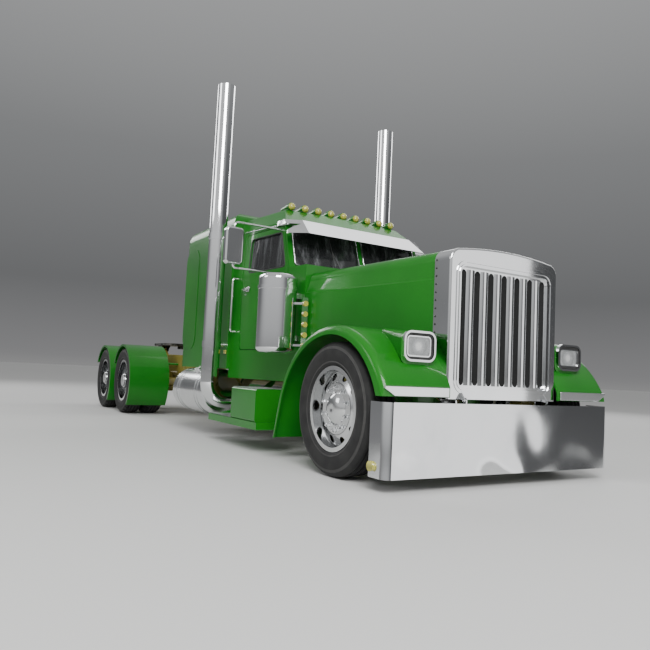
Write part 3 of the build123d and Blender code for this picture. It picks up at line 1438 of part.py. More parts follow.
dash_back_setback = 1480
dash_brow_setback = 1420
dash_foot_setback = 1400
dash_top = 1800
dash_bottom = 1430
column_radius = 26
wheel_rim_radius = 225
wheel_rim_tube = 15
wheel_setback = 1680
wheel_height = 1690
wheel_centre = Vector(x_steer - wheel_setback, seat_y, wheel_height)
column_direction = Vector(0.8, 0, -0.6)
x_dash_front = x_firewall - cab_wall
dash_half = cab_front_width / 2 - cab_wall - 12
column_plane = Plane(origin=wheel_centre, x_dir=(0, 1, 0), z_dir=column_direction)
column_length = 300
hub_reach = 40
with BuildPart() as dashboard:
    with BuildSketch(Plane.XZ):
        with BuildLine():
            Polyline((x_dash_front, dash_bottom), (x_dash_front, dash_top), (x_steer - dash_brow_setback, dash_top),
                     (x_steer - dash_back_setback, dash_top - 70),
                     (x_steer - dash_foot_setback, dash_bottom), close=True)
        make_face()
        fillet([v for v in vertices() if v.X < x_dash_front - 1], 25)
    extrude(amount=dash_half, both=True)
    with BuildSketch(column_plane.offset(hub_reach + bearing_gap)):
        Circle(column_radius * 1.5)
    extrude(amount=column_length)
keep(dashboard, "dashboard")

with BuildPart() as steering_wheel:
    with BuildSketch(Plane(origin=wheel_centre, x_dir=column_direction, z_dir=(0, 1, 0))):
        with Locations((0, wheel_rim_radius)):
            Circle(wheel_rim_tube)
    revolve(axis=Axis(wheel_centre, column_direction))
    with BuildSketch(column_plane):
        for angle in (90, 210, 330):
            with Locations((wheel_rim_radius / 2 * cos(radians(angle)),
                            wheel_rim_radius / 2 * sin(radians(angle)))):
                Rectangle(wheel_rim_radius, 36, rotation=angle)
        Circle(60)
    extrude(amount=5, both=True)
    with BuildSketch(column_plane):
        Circle(column_radius)
    extrude(amount=hub_reach)
keep(steering_wheel, "steering_wheel")

bunk_depth = 920
bunk_top = 1560
with BuildPart() as bunk:
    with BuildSketch(Plane.XY.offset(floor_top)):
        with Locations((x_sleeper_back + sleeper_wall + sleeper_corner / 3 + bunk_depth / 2, 0)):
            Rectangle(bunk_depth, sleeper_width - 2 * sleeper_wall - 40)
    extrude(amount=bunk_top - floor_top)
    fillet([e for e in edges().filter_by(Axis.Z) if e.center().X < x_sleeper_back + bunk_depth / 2],
           sleeper_corner / 2)
    fillet(faces().sort_by(Axis.Z)[-1].edges(), 40)
keep(bunk, "bunk")

# Doors: cut from the cab's walls, each with its glass and a mirror on a tube loop
mirror_y = 1400
mirror_setback = 1590
mirror_bottom = 1835
mirror_top = 2205
mirror_width = 190
mirror_depth = 62
mirror_tube = 11
mirror_loop_low = 1800
mirror_loop_high = 2262
mirror_foot_setback = 1600
mirror_foot_sink = 12
with BuildPart() as door_right:
    add(cab_form(0, cab_sill_z, 0))
    add(cab_form(cab_wall, cab_sill_z, 0), mode=Mode.SUBTRACT)
    with BuildPart(mode=Mode.PRIVATE) as door_prism:
        extrude(Pos(0, -door_inner_y, 0) * door_outline(0), amount=cab_back_width)
    add(door_prism.part, mode=Mode.INTERSECT)
    extrude(window_outline(0), amount=cab_back_width, mode=Mode.SUBTRACT)
    add(hinge_barrels(hinge_barrel_radius + hinge_clearance, cab_knuckles), mode=Mode.SUBTRACT)
    add(hinge_barrels(hinge_barrel_radius, door_knuckle))
    add(hinge_barrels(hinge_pin_radius + bearing_gap, whole_hinge), mode=Mode.SUBTRACT)
keep(door_right, "door_right")

with BuildPart() as door_glass_right:
    add(cab_form((cab_wall - glass_thickness) / 2, cab_sill_z, 0))
    add(cab_form((cab_wall + glass_thickness) / 2, cab_sill_z, 0), mode=Mode.SUBTRACT)
    with BuildPart(mode=Mode.PRIVATE) as window_prism:
        extrude(window_outline(seat_gap), amount=cab_back_width)
    add(window_prism.part, mode=Mode.INTERSECT)
keep(door_glass_right, "door_glass_right")


def door_skin_y(x, z):
    """Distance of the door's outer skin from the truck's middle."""
    lean = tumblehome * max(0, z - belt_z) / (header_z - belt_z)
    return half_width_at(x) - lean


with BuildPart() as mirror_right:
    x = x_steer - mirror_foot_setback
    foot_low = (x, mirror_foot_sink - door_skin_y(x, mirror_loop_low), mirror_loop_low)
    foot_high = (x, mirror_foot_sink - door_skin_y(x, mirror_loop_high), mirror_loop_high)
    with BuildLine():
        FilletPolyline(foot_low, (x_steer - mirror_setback, -mirror_y, mirror_loop_low),
                       (x_steer - mirror_setback, -mirror_y, mirror_loop_high), foot_high, radius=40)
    with BuildSketch(Plane(origin=foot_low, z_dir=(x_steer - mirror_setback - x, -foot_low[1] - mirror_y,
                                                   0))):
        Circle(mirror_tube)
    sweep()
    add(cab_form(0, cab_sill_z, 0), mode=Mode.SUBTRACT)
    with BuildSketch(Plane.YZ.offset(x_steer - mirror_setback - mirror_depth / 2)):
        with Locations((-mirror_y, (mirror_bottom + mirror_top) / 2)):
            RectangleRounded(mirror_width, mirror_top - mirror_bottom, 40)
    extrude(amount=mirror_depth)
    fillet(edges().group_by(Axis.X)[-1], 18)
keep(mirror_right, "mirror_right")

for right_piece in (door_right, door_glass_right, mirror_right):
    with BuildPart() as left_piece:
        mirror(right_piece.part, about=Plane.XZ)
    keep(left_piece, right_piece.part.label.replace("right", "left"))

# Knuckles: kingpin, yoke round the axle's boss, spindle and a steering arm reaching back
yoke_gap = 3
yoke_thickness = 34
yoke_radius = 44
yoke_cheek_y = 962
yoke_cheek = 34
front_spindle_radius = 38
knuckle_arm_reach = 190
knuckle_arm_y = kingpin_y
knuckle_arm_width = 50
tie_rod_pin_radius = 12
tie_rod_radius = 16
tie_rod_eye_radius = 28
tie_rod_eye_height = 36
x_arm_end = x_steer - knuckle_arm_reach
yoke_low = axle_z - kingpin_boss_height / 2 - yoke_gap - yoke_thickness
yoke_height = kingpin_boss_height + 2 * yoke_gap + 2 * yoke_thickness
with BuildPart() as knuckle_right:
    with BuildSketch(Plane.XY.offset(yoke_low)):
        with Locations((x_steer, -kingpin_y)):
            Circle(kingpin_radius)
    extrude(amount=yoke_height)
    for z in (yoke_low, yoke_low + yoke_height - yoke_thickness):
        with BuildSketch(Plane.XY.offset(z)):
            with Locations((x_steer, -kingpin_y)):
                Circle(yoke_radius)
            with Locations((x_steer, -(kingpin_y + yoke_cheek_y + yoke_cheek) / 2)):
                Rectangle(2 * yoke_radius, yoke_cheek_y + yoke_cheek - kingpin_y)
        extrude(amount=yoke_thickness)
    with BuildSketch(Plane.XZ.offset(yoke_cheek_y)):
        with Locations((x_steer, axle_z)):
            Rectangle(2 * yoke_radius, yoke_height)
    extrude(amount=yoke_cheek)
    with BuildSketch(Plane.XZ.offset(yoke_cheek_y)):
        with Locations((x_steer, axle_z)):
            Circle(front_spindle_radius)
    extrude(amount=front_wheel_y + front_hub_reach - yoke_cheek_y)
    with BuildSketch(Plane.XY.offset(yoke_low)):
        with Locations((x_steer - knuckle_arm_reach / 2, -kingpin_y)):
            Rectangle(knuckle_arm_reach, knuckle_arm_width)
        with Locations((x_arm_end, -knuckle_arm_y)):
            Circle(tie_rod_eye_radius)
    extrude(amount=yoke_thickness)
    with BuildSketch(Plane.XY.offset(yoke_low)):
        with Locations((x_arm_end, -knuckle_arm_y)):
            Circle(tie_rod_pin_radius)
    extrude(amount=-tie_rod_eye_height - 4)
keep(knuckle_right, "knuckle_right")

with BuildPart() as knuckle_left:
    mirror(knuckle_right.part, about=Plane.XZ)
keep(knuckle_left, "knuckle_left")

tie_rod_z = yoke_low - 2 - tie_rod_eye_height
with BuildPart() as tie_rod:
    with BuildSketch(Plane.XY.offset(tie_rod_z)):
        for hand in (1, -1):
            with Locations((x_arm_end, hand * knuckle_arm_y)):
                Circle(tie_rod_eye_radius)
    extrude(amount=tie_rod_eye_height)
    with BuildSketch(Plane.XZ):
        with Locations((x_arm_end, tie_rod_z + tie_rod_eye_height / 2)):
            Circle(tie_rod_radius)
    extrude(amount=knuckle_arm_y - tie_rod_eye_radius / 2, both=True)
    with BuildSketch(Plane.XY.offset(tie_rod_z)):
        for hand in (1, -1):
            with Locations((x_arm_end, hand * knuckle_arm_y)):
                Circle(tie_rod_pin_radius + bearing_gap)
    extrude(amount=tie_rod_eye_height, mode=Mode.SUBTRACT)
keep(tie_rod, "tie_rod")


def tyre_ring(x, y):
    """Tyre on the right-hand side, about the wheel's middle plane."""
    half = tyre_width / 2
    seat = bead_width / 2
    rim_edge = rim_flange_radius + 2
    with BuildPart() as ring:
        with BuildSketch(Plane.XY.offset(axle_z)):
            with BuildLine():
                for hand in (1, -1):
                    Polyline((x + bead_radius + seat_gap, y + hand * seat), (x + rim_edge, y + hand * seat),
                             (x + rim_edge + 6, y + hand * (seat + rim_flange_thickness + 3)))
                    ThreePointArc((x + rim_edge + 6, y + hand * (seat + rim_flange_thickness + 3)),
                                  (x + (rim_flange_radius + tyre_radius) / 2, y + hand * half),
                                  (x + tyre_radius - tyre_shoulder_drop - 12, y + hand * (half - 16)))
                    Line((x + tyre_radius - tyre_shoulder_drop - 12, y + hand * (half - 16)),
                         (x + tyre_radius - tyre_shoulder_drop / 2, y + hand * (half - 36)))
                ThreePointArc((x + tyre_radius - tyre_shoulder_drop / 2, y + half - 36), (x + tyre_radius, y),
                              (x + tyre_radius - tyre_shoulder_drop / 2, y - half + 36))
                Line((x + bead_radius + seat_gap, y - seat), (x + bead_radius + seat_gap, y + seat))
            make_face()
        revolve(axis=Axis((x, 0, axle_z), (0, 1, 0)))
    return ring.part


def rim_barrel_ring(x, y):
    """Rim barrel with its two flanges, about the wheel's middle plane."""
    seat = bead_width / 2
    with BuildPart() as ring:
        with BuildSketch(Plane.XY.offset(axle_z)):
            with BuildLine():
                Polyline((x + bead_radius - rim_barrel, y - seat - rim_flange_thickness),
                         (x + rim_flange_radius, y - seat - rim_flange_thickness), (x + rim_flange_radius,
                                                                                    y - seat),
                         (x + bead_radius, y - seat), (x + bead_radius, y + seat), (x + rim_flange_radius,
                                                                                    y + seat),
                         (x + rim_flange_radius, y + seat + rim_flange_thickness),
                         (x + bead_radius - rim_barrel, y + seat + rim_flange_thickness), close=True)
            make_face()
        revolve(axis=Axis((x, 0, axle_z), (0, 1, 0)))
    return ring.part


# Front wheels: a barrel with a crowned disc, ten hand holes and a domed hub cap
disc_outer_offset = 30
hub_pad_offset = 74
with BuildPart() as rim_front_right:
    add(rim_barrel_ring(x_steer, -front_wheel_y))
    with BuildSketch(Plane.XY.offset(axle_z)):
        with BuildLine():
            out = -front_wheel_y - hub_pad_offset
            edge = -front_wheel_y - disc_outer_offset
            Polyline((x_steer, out + rim_disc), (x_steer, out - hub_dome - 12))
            ThreePointArc((x_steer, out - hub_dome - 12), (x_steer + hub_cap_radius * 0.72, out - hub_dome),
                          (x_steer + hub_cap_radius, out))
            Polyline((x_steer + hub_cap_radius, out), (x_steer + hub_pad_radius, out),
                     (x_steer + bead_radius - rim_barrel + 2, edge), (x_steer + bead_radius - rim_barrel + 2,
                                                                      edge + rim_disc),
                     (x_steer + hub_pad_radius, out + rim_disc), (x_steer, out + rim_disc))
        make_face()
    revolve(axis=Axis((x_steer, 0, axle_z), (0, 1, 0)))
    with BuildSketch(Plane.XZ.offset(yoke_cheek_y + yoke_cheek + 8)):
        with Locations((x_steer, axle_z)):
            Circle(hub_barrel_radius)
    extrude(amount=front_wheel_y + hub_pad_offset - rim_disc / 2 - yoke_cheek_y - yoke_cheek - 8)
    with BuildSketch(Plane.XZ.offset(yoke_cheek_y)):
        with Locations((x_steer, axle_z)):
            Circle(front_spindle_radius + bearing_gap)
    extrude(amount=front_wheel_y + front_hub_reach + 1 - yoke_cheek_y, mode=Mode.SUBTRACT)
    with BuildSketch(Plane.XZ.offset(front_wheel_y)):
        with Locations((x_steer, axle_z)):
            with PolarLocations(hand_hole_circle, hand_holes):
                Circle(hand_hole_radius)
    extrude(amount=hub_pad_offset + hub_dome, mode=Mode.SUBTRACT)
keep(rim_front_right, "rim_front_right")

with BuildPart() as tyre_front_right:
    add(tyre_ring(x_steer, -front_wheel_y))
keep(tyre_front_right, "tyre_front_right")

# Twin wheels: two barrels whose discs meet at the hub, which stands out through the outer one
twin_middle_y = (outer_twin_y + inner_twin_y) / 2
twin_disc_round = 60


def twin_rims(x):
    """Both rims of a twin wheel with their hub, on the right-hand side."""
    with BuildPart() as rims:
        add(rim_barrel_ring(x, -outer_twin_y))
        add(rim_barrel_ring(x, -inner_twin_y))
        for hand in (1, -1):
            with BuildSketch(Plane.XY.offset(axle_z)):
                with BuildLine():
                    face = -twin_middle_y
                    back = face + hand * rim_disc
                    barrel = x + bead_radius - rim_barrel + 2
                    Polyline((x, face), (x + hub_pad_radius + 20, face),
                             (barrel, face + hand * twin_disc_round), (barrel,
                                                                       face + hand * (twin_disc_round + rim_disc)),
                             (x + hub_pad_radius + 20, back), (x, back), close=True)
                make_face()
            revolve(axis=Axis((x, 0, axle_z), (0, 1, 0)))
        with BuildSketch(Plane.XZ.offset(housing_reach + 20)):
            with Locations((x, axle_z)):
                Circle(hub_barrel_radius)
        extrude(amount=outer_twin_y + rear_hub_reach - housing_reach - 20)
        with BuildSketch(Plane.XZ.offset(outer_twin_y + rear_hub_reach)):
            with Locations((x, axle_z)):
                Circle(hub_barrel_radius * 0.82)
        extrude(amount=hub_dome)
        fillet(faces().sort_by(Axis.Y)[0].edges(), hub_dome / 2)
        with BuildSketch(Plane.XZ.offset(housing_reach)):
            with Locations((x, axle_z)):
                Circle(spindle_radius + bearing_gap)
        extrude(amount=outer_twin_y + rear_hub_reach + 1 - housing_reach, mode=Mode.SUBTRACT)
        with BuildSketch(Plane.XZ.offset(inner_twin_y)):
            with Locations((x, axle_z)):
                with PolarLocations(hand_hole_circle, hand_holes):
                    Circle(hand_hole_radius)
        extrude(amount=twin_spacing, mode=Mode.SUBTRACT)
    return rims.part


for place, x in (("drive_front", x_drive_front), ("drive_rear", x_drive_rear)):
    with BuildPart() as twin:
        add(twin_rims(x))
    keep(twin, f"rims_{place}_right")
    with BuildPart() as twin_tyres:
        add(tyre_ring(x, -outer_twin_y))
        add(tyre_ring(x, -inner_twin_y))
    keep(twin_tyres, f"tyres_{place}_right")

for right_piece in [piece for piece in pieces if piece.label.startswith(("rim", "tyre"))]:
    with BuildPart() as left_piece:
        mirror(right_piece, about=Plane.XZ)
    keep(left_piece, right_piece.label.replace("right", "left"))

os.makedirs("parts", exist_ok=True)
for piece in pieces:
    export_step(piece, f"parts/{piece.label}.step")
    print(piece.label, len(piece.solids()), round(piece.volume / 1e6, 2))
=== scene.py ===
"""A long-nose tractor unit in green paint, polished chrome and aluminium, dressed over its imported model."""

from math import cos, pi, radians, sin, sqrt

import bmesh
import bpy
from mathutils import Matrix, Vector


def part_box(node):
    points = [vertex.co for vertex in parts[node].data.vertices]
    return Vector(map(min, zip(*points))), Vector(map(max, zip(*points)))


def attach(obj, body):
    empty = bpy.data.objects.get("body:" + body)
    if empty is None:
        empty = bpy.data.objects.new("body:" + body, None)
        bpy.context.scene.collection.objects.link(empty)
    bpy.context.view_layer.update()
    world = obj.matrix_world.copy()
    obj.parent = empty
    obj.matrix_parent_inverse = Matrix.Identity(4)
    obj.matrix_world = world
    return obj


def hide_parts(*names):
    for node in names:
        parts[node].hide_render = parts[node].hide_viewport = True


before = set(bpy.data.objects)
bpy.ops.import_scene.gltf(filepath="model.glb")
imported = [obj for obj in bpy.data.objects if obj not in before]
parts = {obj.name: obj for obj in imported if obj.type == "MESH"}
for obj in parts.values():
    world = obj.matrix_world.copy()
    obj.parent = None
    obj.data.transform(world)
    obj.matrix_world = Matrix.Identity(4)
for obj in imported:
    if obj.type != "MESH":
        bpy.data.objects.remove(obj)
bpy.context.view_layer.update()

# The camera stands low on the road ahead of the right front corner, a little rolled, as in the picture.
# Its place, aim and lens come from a fit of the tractor's known sizes to the drawn outline.
tyre_low, tyre_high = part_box("tyre_front_right")
steer_x = (tyre_low[0] + tyre_high[0]) / 2
camera_place = (steer_x + 4.2469, -3.82943, 0.80826)
camera_yaw, camera_pitch, camera_roll = 2.59768, 0.07427, 0.04691
camera_lens_share = 637.14 / 650
sensor_width = 36
camera_data = bpy.data.cameras.new("road_camera")
camera_data.sensor_width = sensor_width
camera_data.lens = camera_lens_share * sensor_width
camera = bpy.data.objects.new("road_camera", camera_data)
bpy.context.scene.collection.objects.link(camera)
ahead = Vector((cos(camera_pitch) * cos(camera_yaw), cos(camera_pitch) * sin(camera_yaw), sin(camera_pitch)))
level_right = Vector((sin(camera_yaw), -cos(camera_yaw), 0))
level_up = level_right.cross(ahead)
right = level_right * cos(camera_roll) + level_up * sin(camera_roll)
up = level_up * cos(camera_roll) - level_right * sin(camera_roll)
camera.matrix_world = Matrix.Translation(camera_place) @ Matrix((right, up, -ahead)).transposed().to_4x4()
bpy.context.scene.camera = camera


class Wire:
    """A shader socket that Python's operators carry on with Math nodes; make() adds any other node."""

    def __init__(self, tree, socket=None):
        self.tree = tree
        self.socket = socket

    def make(self, kind, settings=None, sockets=None, out=0):
        node = self.tree.nodes.new("ShaderNode" + kind)
        for name, value in (settings or {}).items():
            if name == "stops":
                ends = node.color_ramp.elements
                ends[0].position, ends[0].color = value[0]
                ends[1].position, ends[1].color = value[-1]
                for place, colour in value[1:-1]:
                    ends.new(place).color = colour
            else:
                setattr(node, name, value)
        for key, value in (sockets or {}).items():
            if isinstance(value, Wire):
                self.tree.links.new(value.socket, node.inputs[key])
            else:
                node.inputs[key].default_value = value
        return Wire(self.tree, node.outputs[out])

    def maths(self, operation, *values):
        return self.make("Math", {"operation": operation}, dict(enumerate(values)))

    def __add__(self, other):
        return self.maths("ADD", self, other)

    def __radd__(self, other):
        return self.maths("ADD", other, self)

    def __sub__(self, other):
        return self.maths("SUBTRACT", self, other)

    def __rsub__(self, other):
        return self.maths("SUBTRACT", other, self)

    def __mul__(self, other):
        return self.maths("MULTIPLY", self, other)

    def __rmul__(self, other):
        return self.maths("MULTIPLY", other, self)

    def noise(self, scale, detail, roughness=0.5):
        """Cloudy noise over these coordinates."""
        return self.make("TexNoise", {}, {
            "Vector": self, "Scale": scale, "Detail": detail, "Roughness": roughness})

    def axis(self, which):
        """One of these coordinates: 0 is X, 1 is Y, 2 is Z."""
        return self.make("SeparateXYZ", {}, {0: self}, which)

    def between(self, low, high):
        """0 below low, 1 above high, smooth between."""
        return self.make("MapRange", {"interpolation_type": "SMOOTHSTEP"}, {
            0: self, 1: low, 2: high, 3: 0.0, 4: 1.0})

    def colours(self, low, high):
        """The colour low where this is 0 and high where it is 1."""
        return self.make("Mix", {"data_type": "RGBA"}, {0: self, 6: low, 7: high}, 2)


def new_finish(name, **sockets):
    """A material, its Object coordinates, and its surface with plain values set on its own sockets."""
    material = bpy.data.materials.new(name)
    material.use_nodes = True
    surface = material.node_tree.nodes["Principled BSDF"]
    for key, value in sockets.items():
        surface.inputs[key.replace("_", " ")].default_value = value
    return material, Wire(material.node_tree).make("TexCoord", {}, {}, "Object"), surface


def lead(wire, surface, key):
    """Joins a wire to one of the surface's sockets."""
    wire.tree.links.new(wire.socket, surface.inputs[key])


def relief(height, surface, depth, strength=1.0):
    """Height in the node maths becomes bumps of that depth in metres."""
    lead(height.make("Bump", {}, {"Height": height, "Distance": depth, "Strength": strength}), surface, "Normal")


def dress(material, *names):
    """CAD nodes take a finish."""
    for name in names:
        for place in parts[name].material_slots:
            place.material = material


# The floor is a pale sheet of studio paper, lit by soft boxes. Two white cards, one low off the front left
# corner and one overhead, are there for the bright metal to mirror, with a black flag beside the low one.
# The walls are grey near the floor and pale overhead, and the wall off the front right corner is the paler one.
floor_size = 240


def mesh_of(bm, name, *materials, crease=None):
    """The bmesh becomes a mesh with its materials, smooth up to the crease angle in degrees where it has one."""
    mesh = bpy.data.meshes.new(name)
    bm.to_mesh(mesh)
    bm.free()
    for material in materials:
        mesh.materials.append(material)
    if crease is not None:
        for polygon in mesh.polygons:
            polygon.use_smooth = True
        mesh.set_sharp_from_angle(angle=radians(crease))
    return mesh


floor_paper, where, surface = new_finish("floor_paper", Base_Color=(0.62, 0.62, 0.61, 1), Roughness=0.9)
grain = where.make("TexNoise", {}, {"Scale": 6.0, "Detail": 4.0})
lead(grain.colours((0.60, 0.60, 0.59, 1), (0.64, 0.64, 0.63, 1)), surface, "Base Color")
bm = bmesh.new()
bmesh.ops.create_grid(bm, x_segments=1, y_segments=1, size=floor_size / 2)
floor = bpy.data.objects.new("studio_floor", mesh_of(bm, "studio_floor", floor_paper))
bpy.context.scene.collection.objects.link(floor)

lamps = (
    # name, place, aim, size, watts
    ("key_softbox", (12.5, -6.0, 8.5), (2.8, -0.6, 1.2), 6.0, 1900),
    ("side_softbox", (-1.5, -13.0, 7.5), (-0.5, 0.0, 1.3), 4.5, 230),
    ("front_card", (15.0, 7.8, 2.2), (4.6, 0.0, 1.2), 6.0, 150),
    ("top_card", (-0.8, 3.9, 8.3), (2.5, -0.3, 2.3), 4.5, 85),
    ("far_softbox", (-3.0, 12.0, 7.5), (0.0, 0.0, 1.5), 6.0, 450),
    ("rear_softbox", (-13.0, -4.0, 8.0), (-3.0, 0.0, 1.3), 5.0, 450),
)
for name, place, aim, size, watts in lamps:
    lamp_data = bpy.data.lights.new(name, "AREA")
    lamp_data.size = size
    lamp_data.energy = watts
    lamp = bpy.data.objects.new(name, lamp_data)
    lamp.location = place
    lamp.rotation_euler = (Vector(aim) - Vector(place)).to_track_quat("-Z", "Y").to_euler()
    lamp.visible_camera = False
    bpy.context.scene.collection.objects.link(lamp)

world = bpy.data.worlds.new("studio")
bpy.context.scene.world = world
world.use_nodes = True
sky = Wire(world.node_tree)
direction = sky.make("TexCoord", {}, {}, "Generated")
height = direction.axis(2)
forwards = direction.axis(0)
leftwards = direction.axis(1)
pale_side = (forwards * 0.28 - leftwards * 0.42 + 0.5).between(0.45, 0.95)
flag = (forwards * 0.57 + leftwards * 0.82).between(0.55, 0.95) * (1 - height.between(0.2, 0.45)) * 0.7
walls_dim = sky.make("ValToRGB", {"stops": (
    (0.0, (0.30, 0.30, 0.30, 1)), (0.495, (0.30, 0.30, 0.30, 1)), (0.505, (0.24, 0.24, 0.245, 1)),
    (0.56, (0.16, 0.163, 0.167, 1)), (0.66, (0.24, 0.245, 0.25, 1)), (0.82, (0.50, 0.505, 0.51, 1)),
    (1.0, (0.65, 0.65, 0.65, 1)))}, {0: height * 0.5 + 0.5})
walls_lit = sky.make("ValToRGB", {"stops": (
    (0.0, (0.30, 0.30, 0.30, 1)), (0.495, (0.30, 0.30, 0.30, 1)), (0.505, (0.24, 0.24, 0.24, 1)),
    (0.53, (0.50, 0.505, 0.51, 1)), (0.60, (0.78, 0.785, 0.79, 1)), (0.82, (0.55, 0.555, 0.56, 1)),
    (1.0, (0.65, 0.65, 0.65, 1)))}, {0: height * 0.5 + 0.5})
studio_walls = flag.colours(pale_side.colours(walls_dim, walls_lit), (0.05, 0.051, 0.053, 1))
background = world.node_tree.nodes["Background"]
sky.tree.links.new(studio_walls.socket, background.inputs["Color"])
background.inputs["Strength"].default_value = 0.9

# Chassis: pressed steel rails, crossmembers, axles and springs in an olive-gold chassis paint,
# dulled by patches of road dust.
chassis_gold = (0.36, 0.30, 0.05, 1)
chassis_gold_dark = (0.20, 0.165, 0.03, 1)
road_dust = (0.28, 0.25, 0.19, 1)
chassis_paint, where, surface = new_finish("chassis_paint", Roughness=0.45, Coat_Weight=0.25, Coat_Roughness=0.3)
mottle = where.noise(7.0, 6.0, 0.6)
speckle = where.noise(90.0, 3.0)
dust = mottle.between(0.52, 0.75) * 0.6
paint_colour = mottle.colours(chassis_gold_dark, chassis_gold)
lead(dust.colours(paint_colour, road_dust), surface, "Base Color")
lead(dust * 0.5 + 0.38, surface, "Roughness")
relief(speckle, surface, 0.0006)
dress(chassis_paint, "frame", "crossmembers", "front_axle", "drive_axles", "springs", "fifth_wheel_base",
      "knuckle_right", "knuckle_left", "tie_rod", "gearbox_and_shafts")

# Engine and radiator: the plain engine block stands in grey enamel, with patches of oil mist;
# the radiator core is a dark wall of fine fins.
engine_enamel, where, surface = new_finish("engine_enamel", Roughness=0.5)
oil = where.noise(5.0, 8.0)
lead(oil.colours((0.07, 0.07, 0.065, 1), (0.26, 0.26, 0.25, 1)), surface, "Base Color")
lead(oil * 0.4 + 0.3, surface, "Roughness")
relief(oil, surface, 0.003)
dress(engine_enamel, "engine_block")
fin_pitch = 0.008
core_finish, where, surface = new_finish("radiator_core", Metallic=0.6, Roughness=0.55)
fins = where.make("TexWave", {"bands_direction": "Z"}, {
    "Vector": where, "Scale": 1 / fin_pitch / 20 * 2 * pi})
lead(fins.colours((0.01, 0.01, 0.01, 1), (0.07, 0.07, 0.07, 1)), surface, "Base Color")
relief(fins, surface, 0.003)
dress(core_finish, "radiator")

# Chrome: triple-plated steel of the bumper, grille shell, stacks, visor and air cleaners.
# It is mirror bright, with the faint swirls of polishing and a breath of road film.
chrome_bright = (0.84, 0.85, 0.86, 1)
chrome_film = (0.76, 0.775, 0.785, 1)
chrome, where, surface = new_finish("chrome", Metallic=1.0, Roughness=0.07)
film = where.noise(2.2, 7.0, 0.65)
swirl = where.noise(40.0, 2.0)
lead(film.between(0.45, 0.8).colours(chrome_bright, chrome_film), surface, "Base Color")
lead(film.between(0.4, 0.8) * 0.05 + swirl * 0.03 + 0.04, surface, "Roughness")
dress(chrome, "stacks", "air_cleaners", "sun_visor", "grille_shell", "grille_bars", "headlamps",
      "mirror_right", "mirror_left")

# Bumper: one long pressed sheet of the same chrome. It leans back a little and is not quite flat, so what
# it mirrors bends in long curves.
sheet_lean = 0.095
bumper_chrome, where, surface = new_finish("bumper_chrome", Metallic=1.0, Roughness=0.08)
film = where.noise(2.2, 7.0, 0.65)
lead(film.between(0.45, 0.8).colours(chrome_bright, chrome_film), surface, "Base Color")
lead(film.between(0.4, 0.8) * 0.05 + 0.05, surface, "Roughness")
ripple = where.noise(1.3, 1.0) - 0.5
upright = where.axis(2)
relief((1.0 - upright) * (ripple * 0.35 + 1.0), surface, sheet_lean)
dress(bumper_chrome, "bumper")

# Polished aluminium: spun fuel tanks and forged wheels, a little greyer and softer than chrome.
polished, where, surface = new_finish("polished_aluminium", Metallic=1.0, Roughness=0.2)
haze = where.noise(5.0, 6.0)
lead(haze.colours((0.62, 0.63, 0.64, 1), (0.82, 0.83, 0.83, 1)), surface, "Base Color")
lead(haze * 0.14 + 0.10, surface, "Roughness")
dress(polished, "fuel_tanks")

# Wheels: forged aluminium, polished outside. The walls of the ten hand holes are near black, painted shade,
# and thin dark rings round the hub pad and where the disc meets the barrel are brake dust and painted crease
# shade.
hand_holes = 10
hand_hole_circle = 0.255
hand_hole_edge = 0.0325
hub_z = 0.530
pad_edge, barrel_edge = 0.203, 0.298
drive_axle_x = {axle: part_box(f"rims_drive_{axle}_right") for axle in ("front", "rear")}
for finish_name, centre_x, disc_back, rims in (
        # disc_back is how far out the back of the disc stands, where the holes show what lies behind it, painted
        # near black as shade
        ("front_rim_polish", steer_x, 1.1115, ("rim_front_right", "rim_front_left")),
        ("drive_rim_polish_front", sum(end[0] for end in drive_axle_x["front"]) / 2, 0,
         ("rims_drive_front_right", "rims_drive_front_left")),
        ("drive_rim_polish_rear", sum(end[0] for end in drive_axle_x["rear"]) / 2, 0,
         ("rims_drive_rear_right", "rims_drive_rear_left"))):
    rim_polish, where, surface = new_finish(finish_name, Metallic=1.0, Roughness=0.2)
    along = where.axis(0) - centre_x
    above = where.axis(2) - hub_z
    reach = where.maths("SQRT", along * along + above * above)
    turn = where.maths("ARCTAN2", above, along) * (hand_holes / (2 * pi))
    from_hole = (turn - where.maths("ROUND", turn)) * (2 * pi / hand_holes)
    across = reach * where.maths("COSINE", from_hole) - hand_hole_circle
    sideways = reach * where.maths("SINE", from_hole)
    # Painted shade: the walls of the hand holes are near black.
    hole_wall_shade = 1 - where.maths("SQRT", across * across + sideways * sideways).between(
        hand_hole_edge - 0.002, hand_hole_edge)
    # Thin dark rings round the hub pad and where the disc meets the barrel: brake dust and painted crease shade.
    pad_dust_and_shade = 1 - where.maths("ABSOLUTE", reach - pad_edge).between(0.001, 0.006)
    barrel_dust_and_shade = 1 - where.maths("ABSOLUTE", reach - barrel_edge).between(0.001, 0.006)
    haze = where.noise(5.0, 6.0)
    shine = haze.colours((0.62, 0.63, 0.64, 1), (0.82, 0.83, 0.83, 1))
    dusty_and_shaded = (pad_dust_and_shade * 0.7 + barrel_dust_and_shade * 0.6).colours(shine, (0.12, 0.12, 0.12, 1))
    outwards = where.maths("ABSOLUTE", where.axis(1))
    cone = where.maths("MAXIMUM", reach - 0.2, 0.0) * 0.44
    # Painted shade: faces that show through the holes, behind the disc, are near black too.
    behind = (disc_back - cone - outwards).between(0.0, 0.002) * (1 - reach.between(0.284, 0.287))
    lead(where.maths("MAXIMUM", hole_wall_shade, behind).colours(dusty_and_shaded, (0.012, 0.012, 0.012, 1)), surface, "Base Color")
    lead(haze * 0.14 + 0.10, surface, "Roughness")
    dress(rim_polish, *rims)

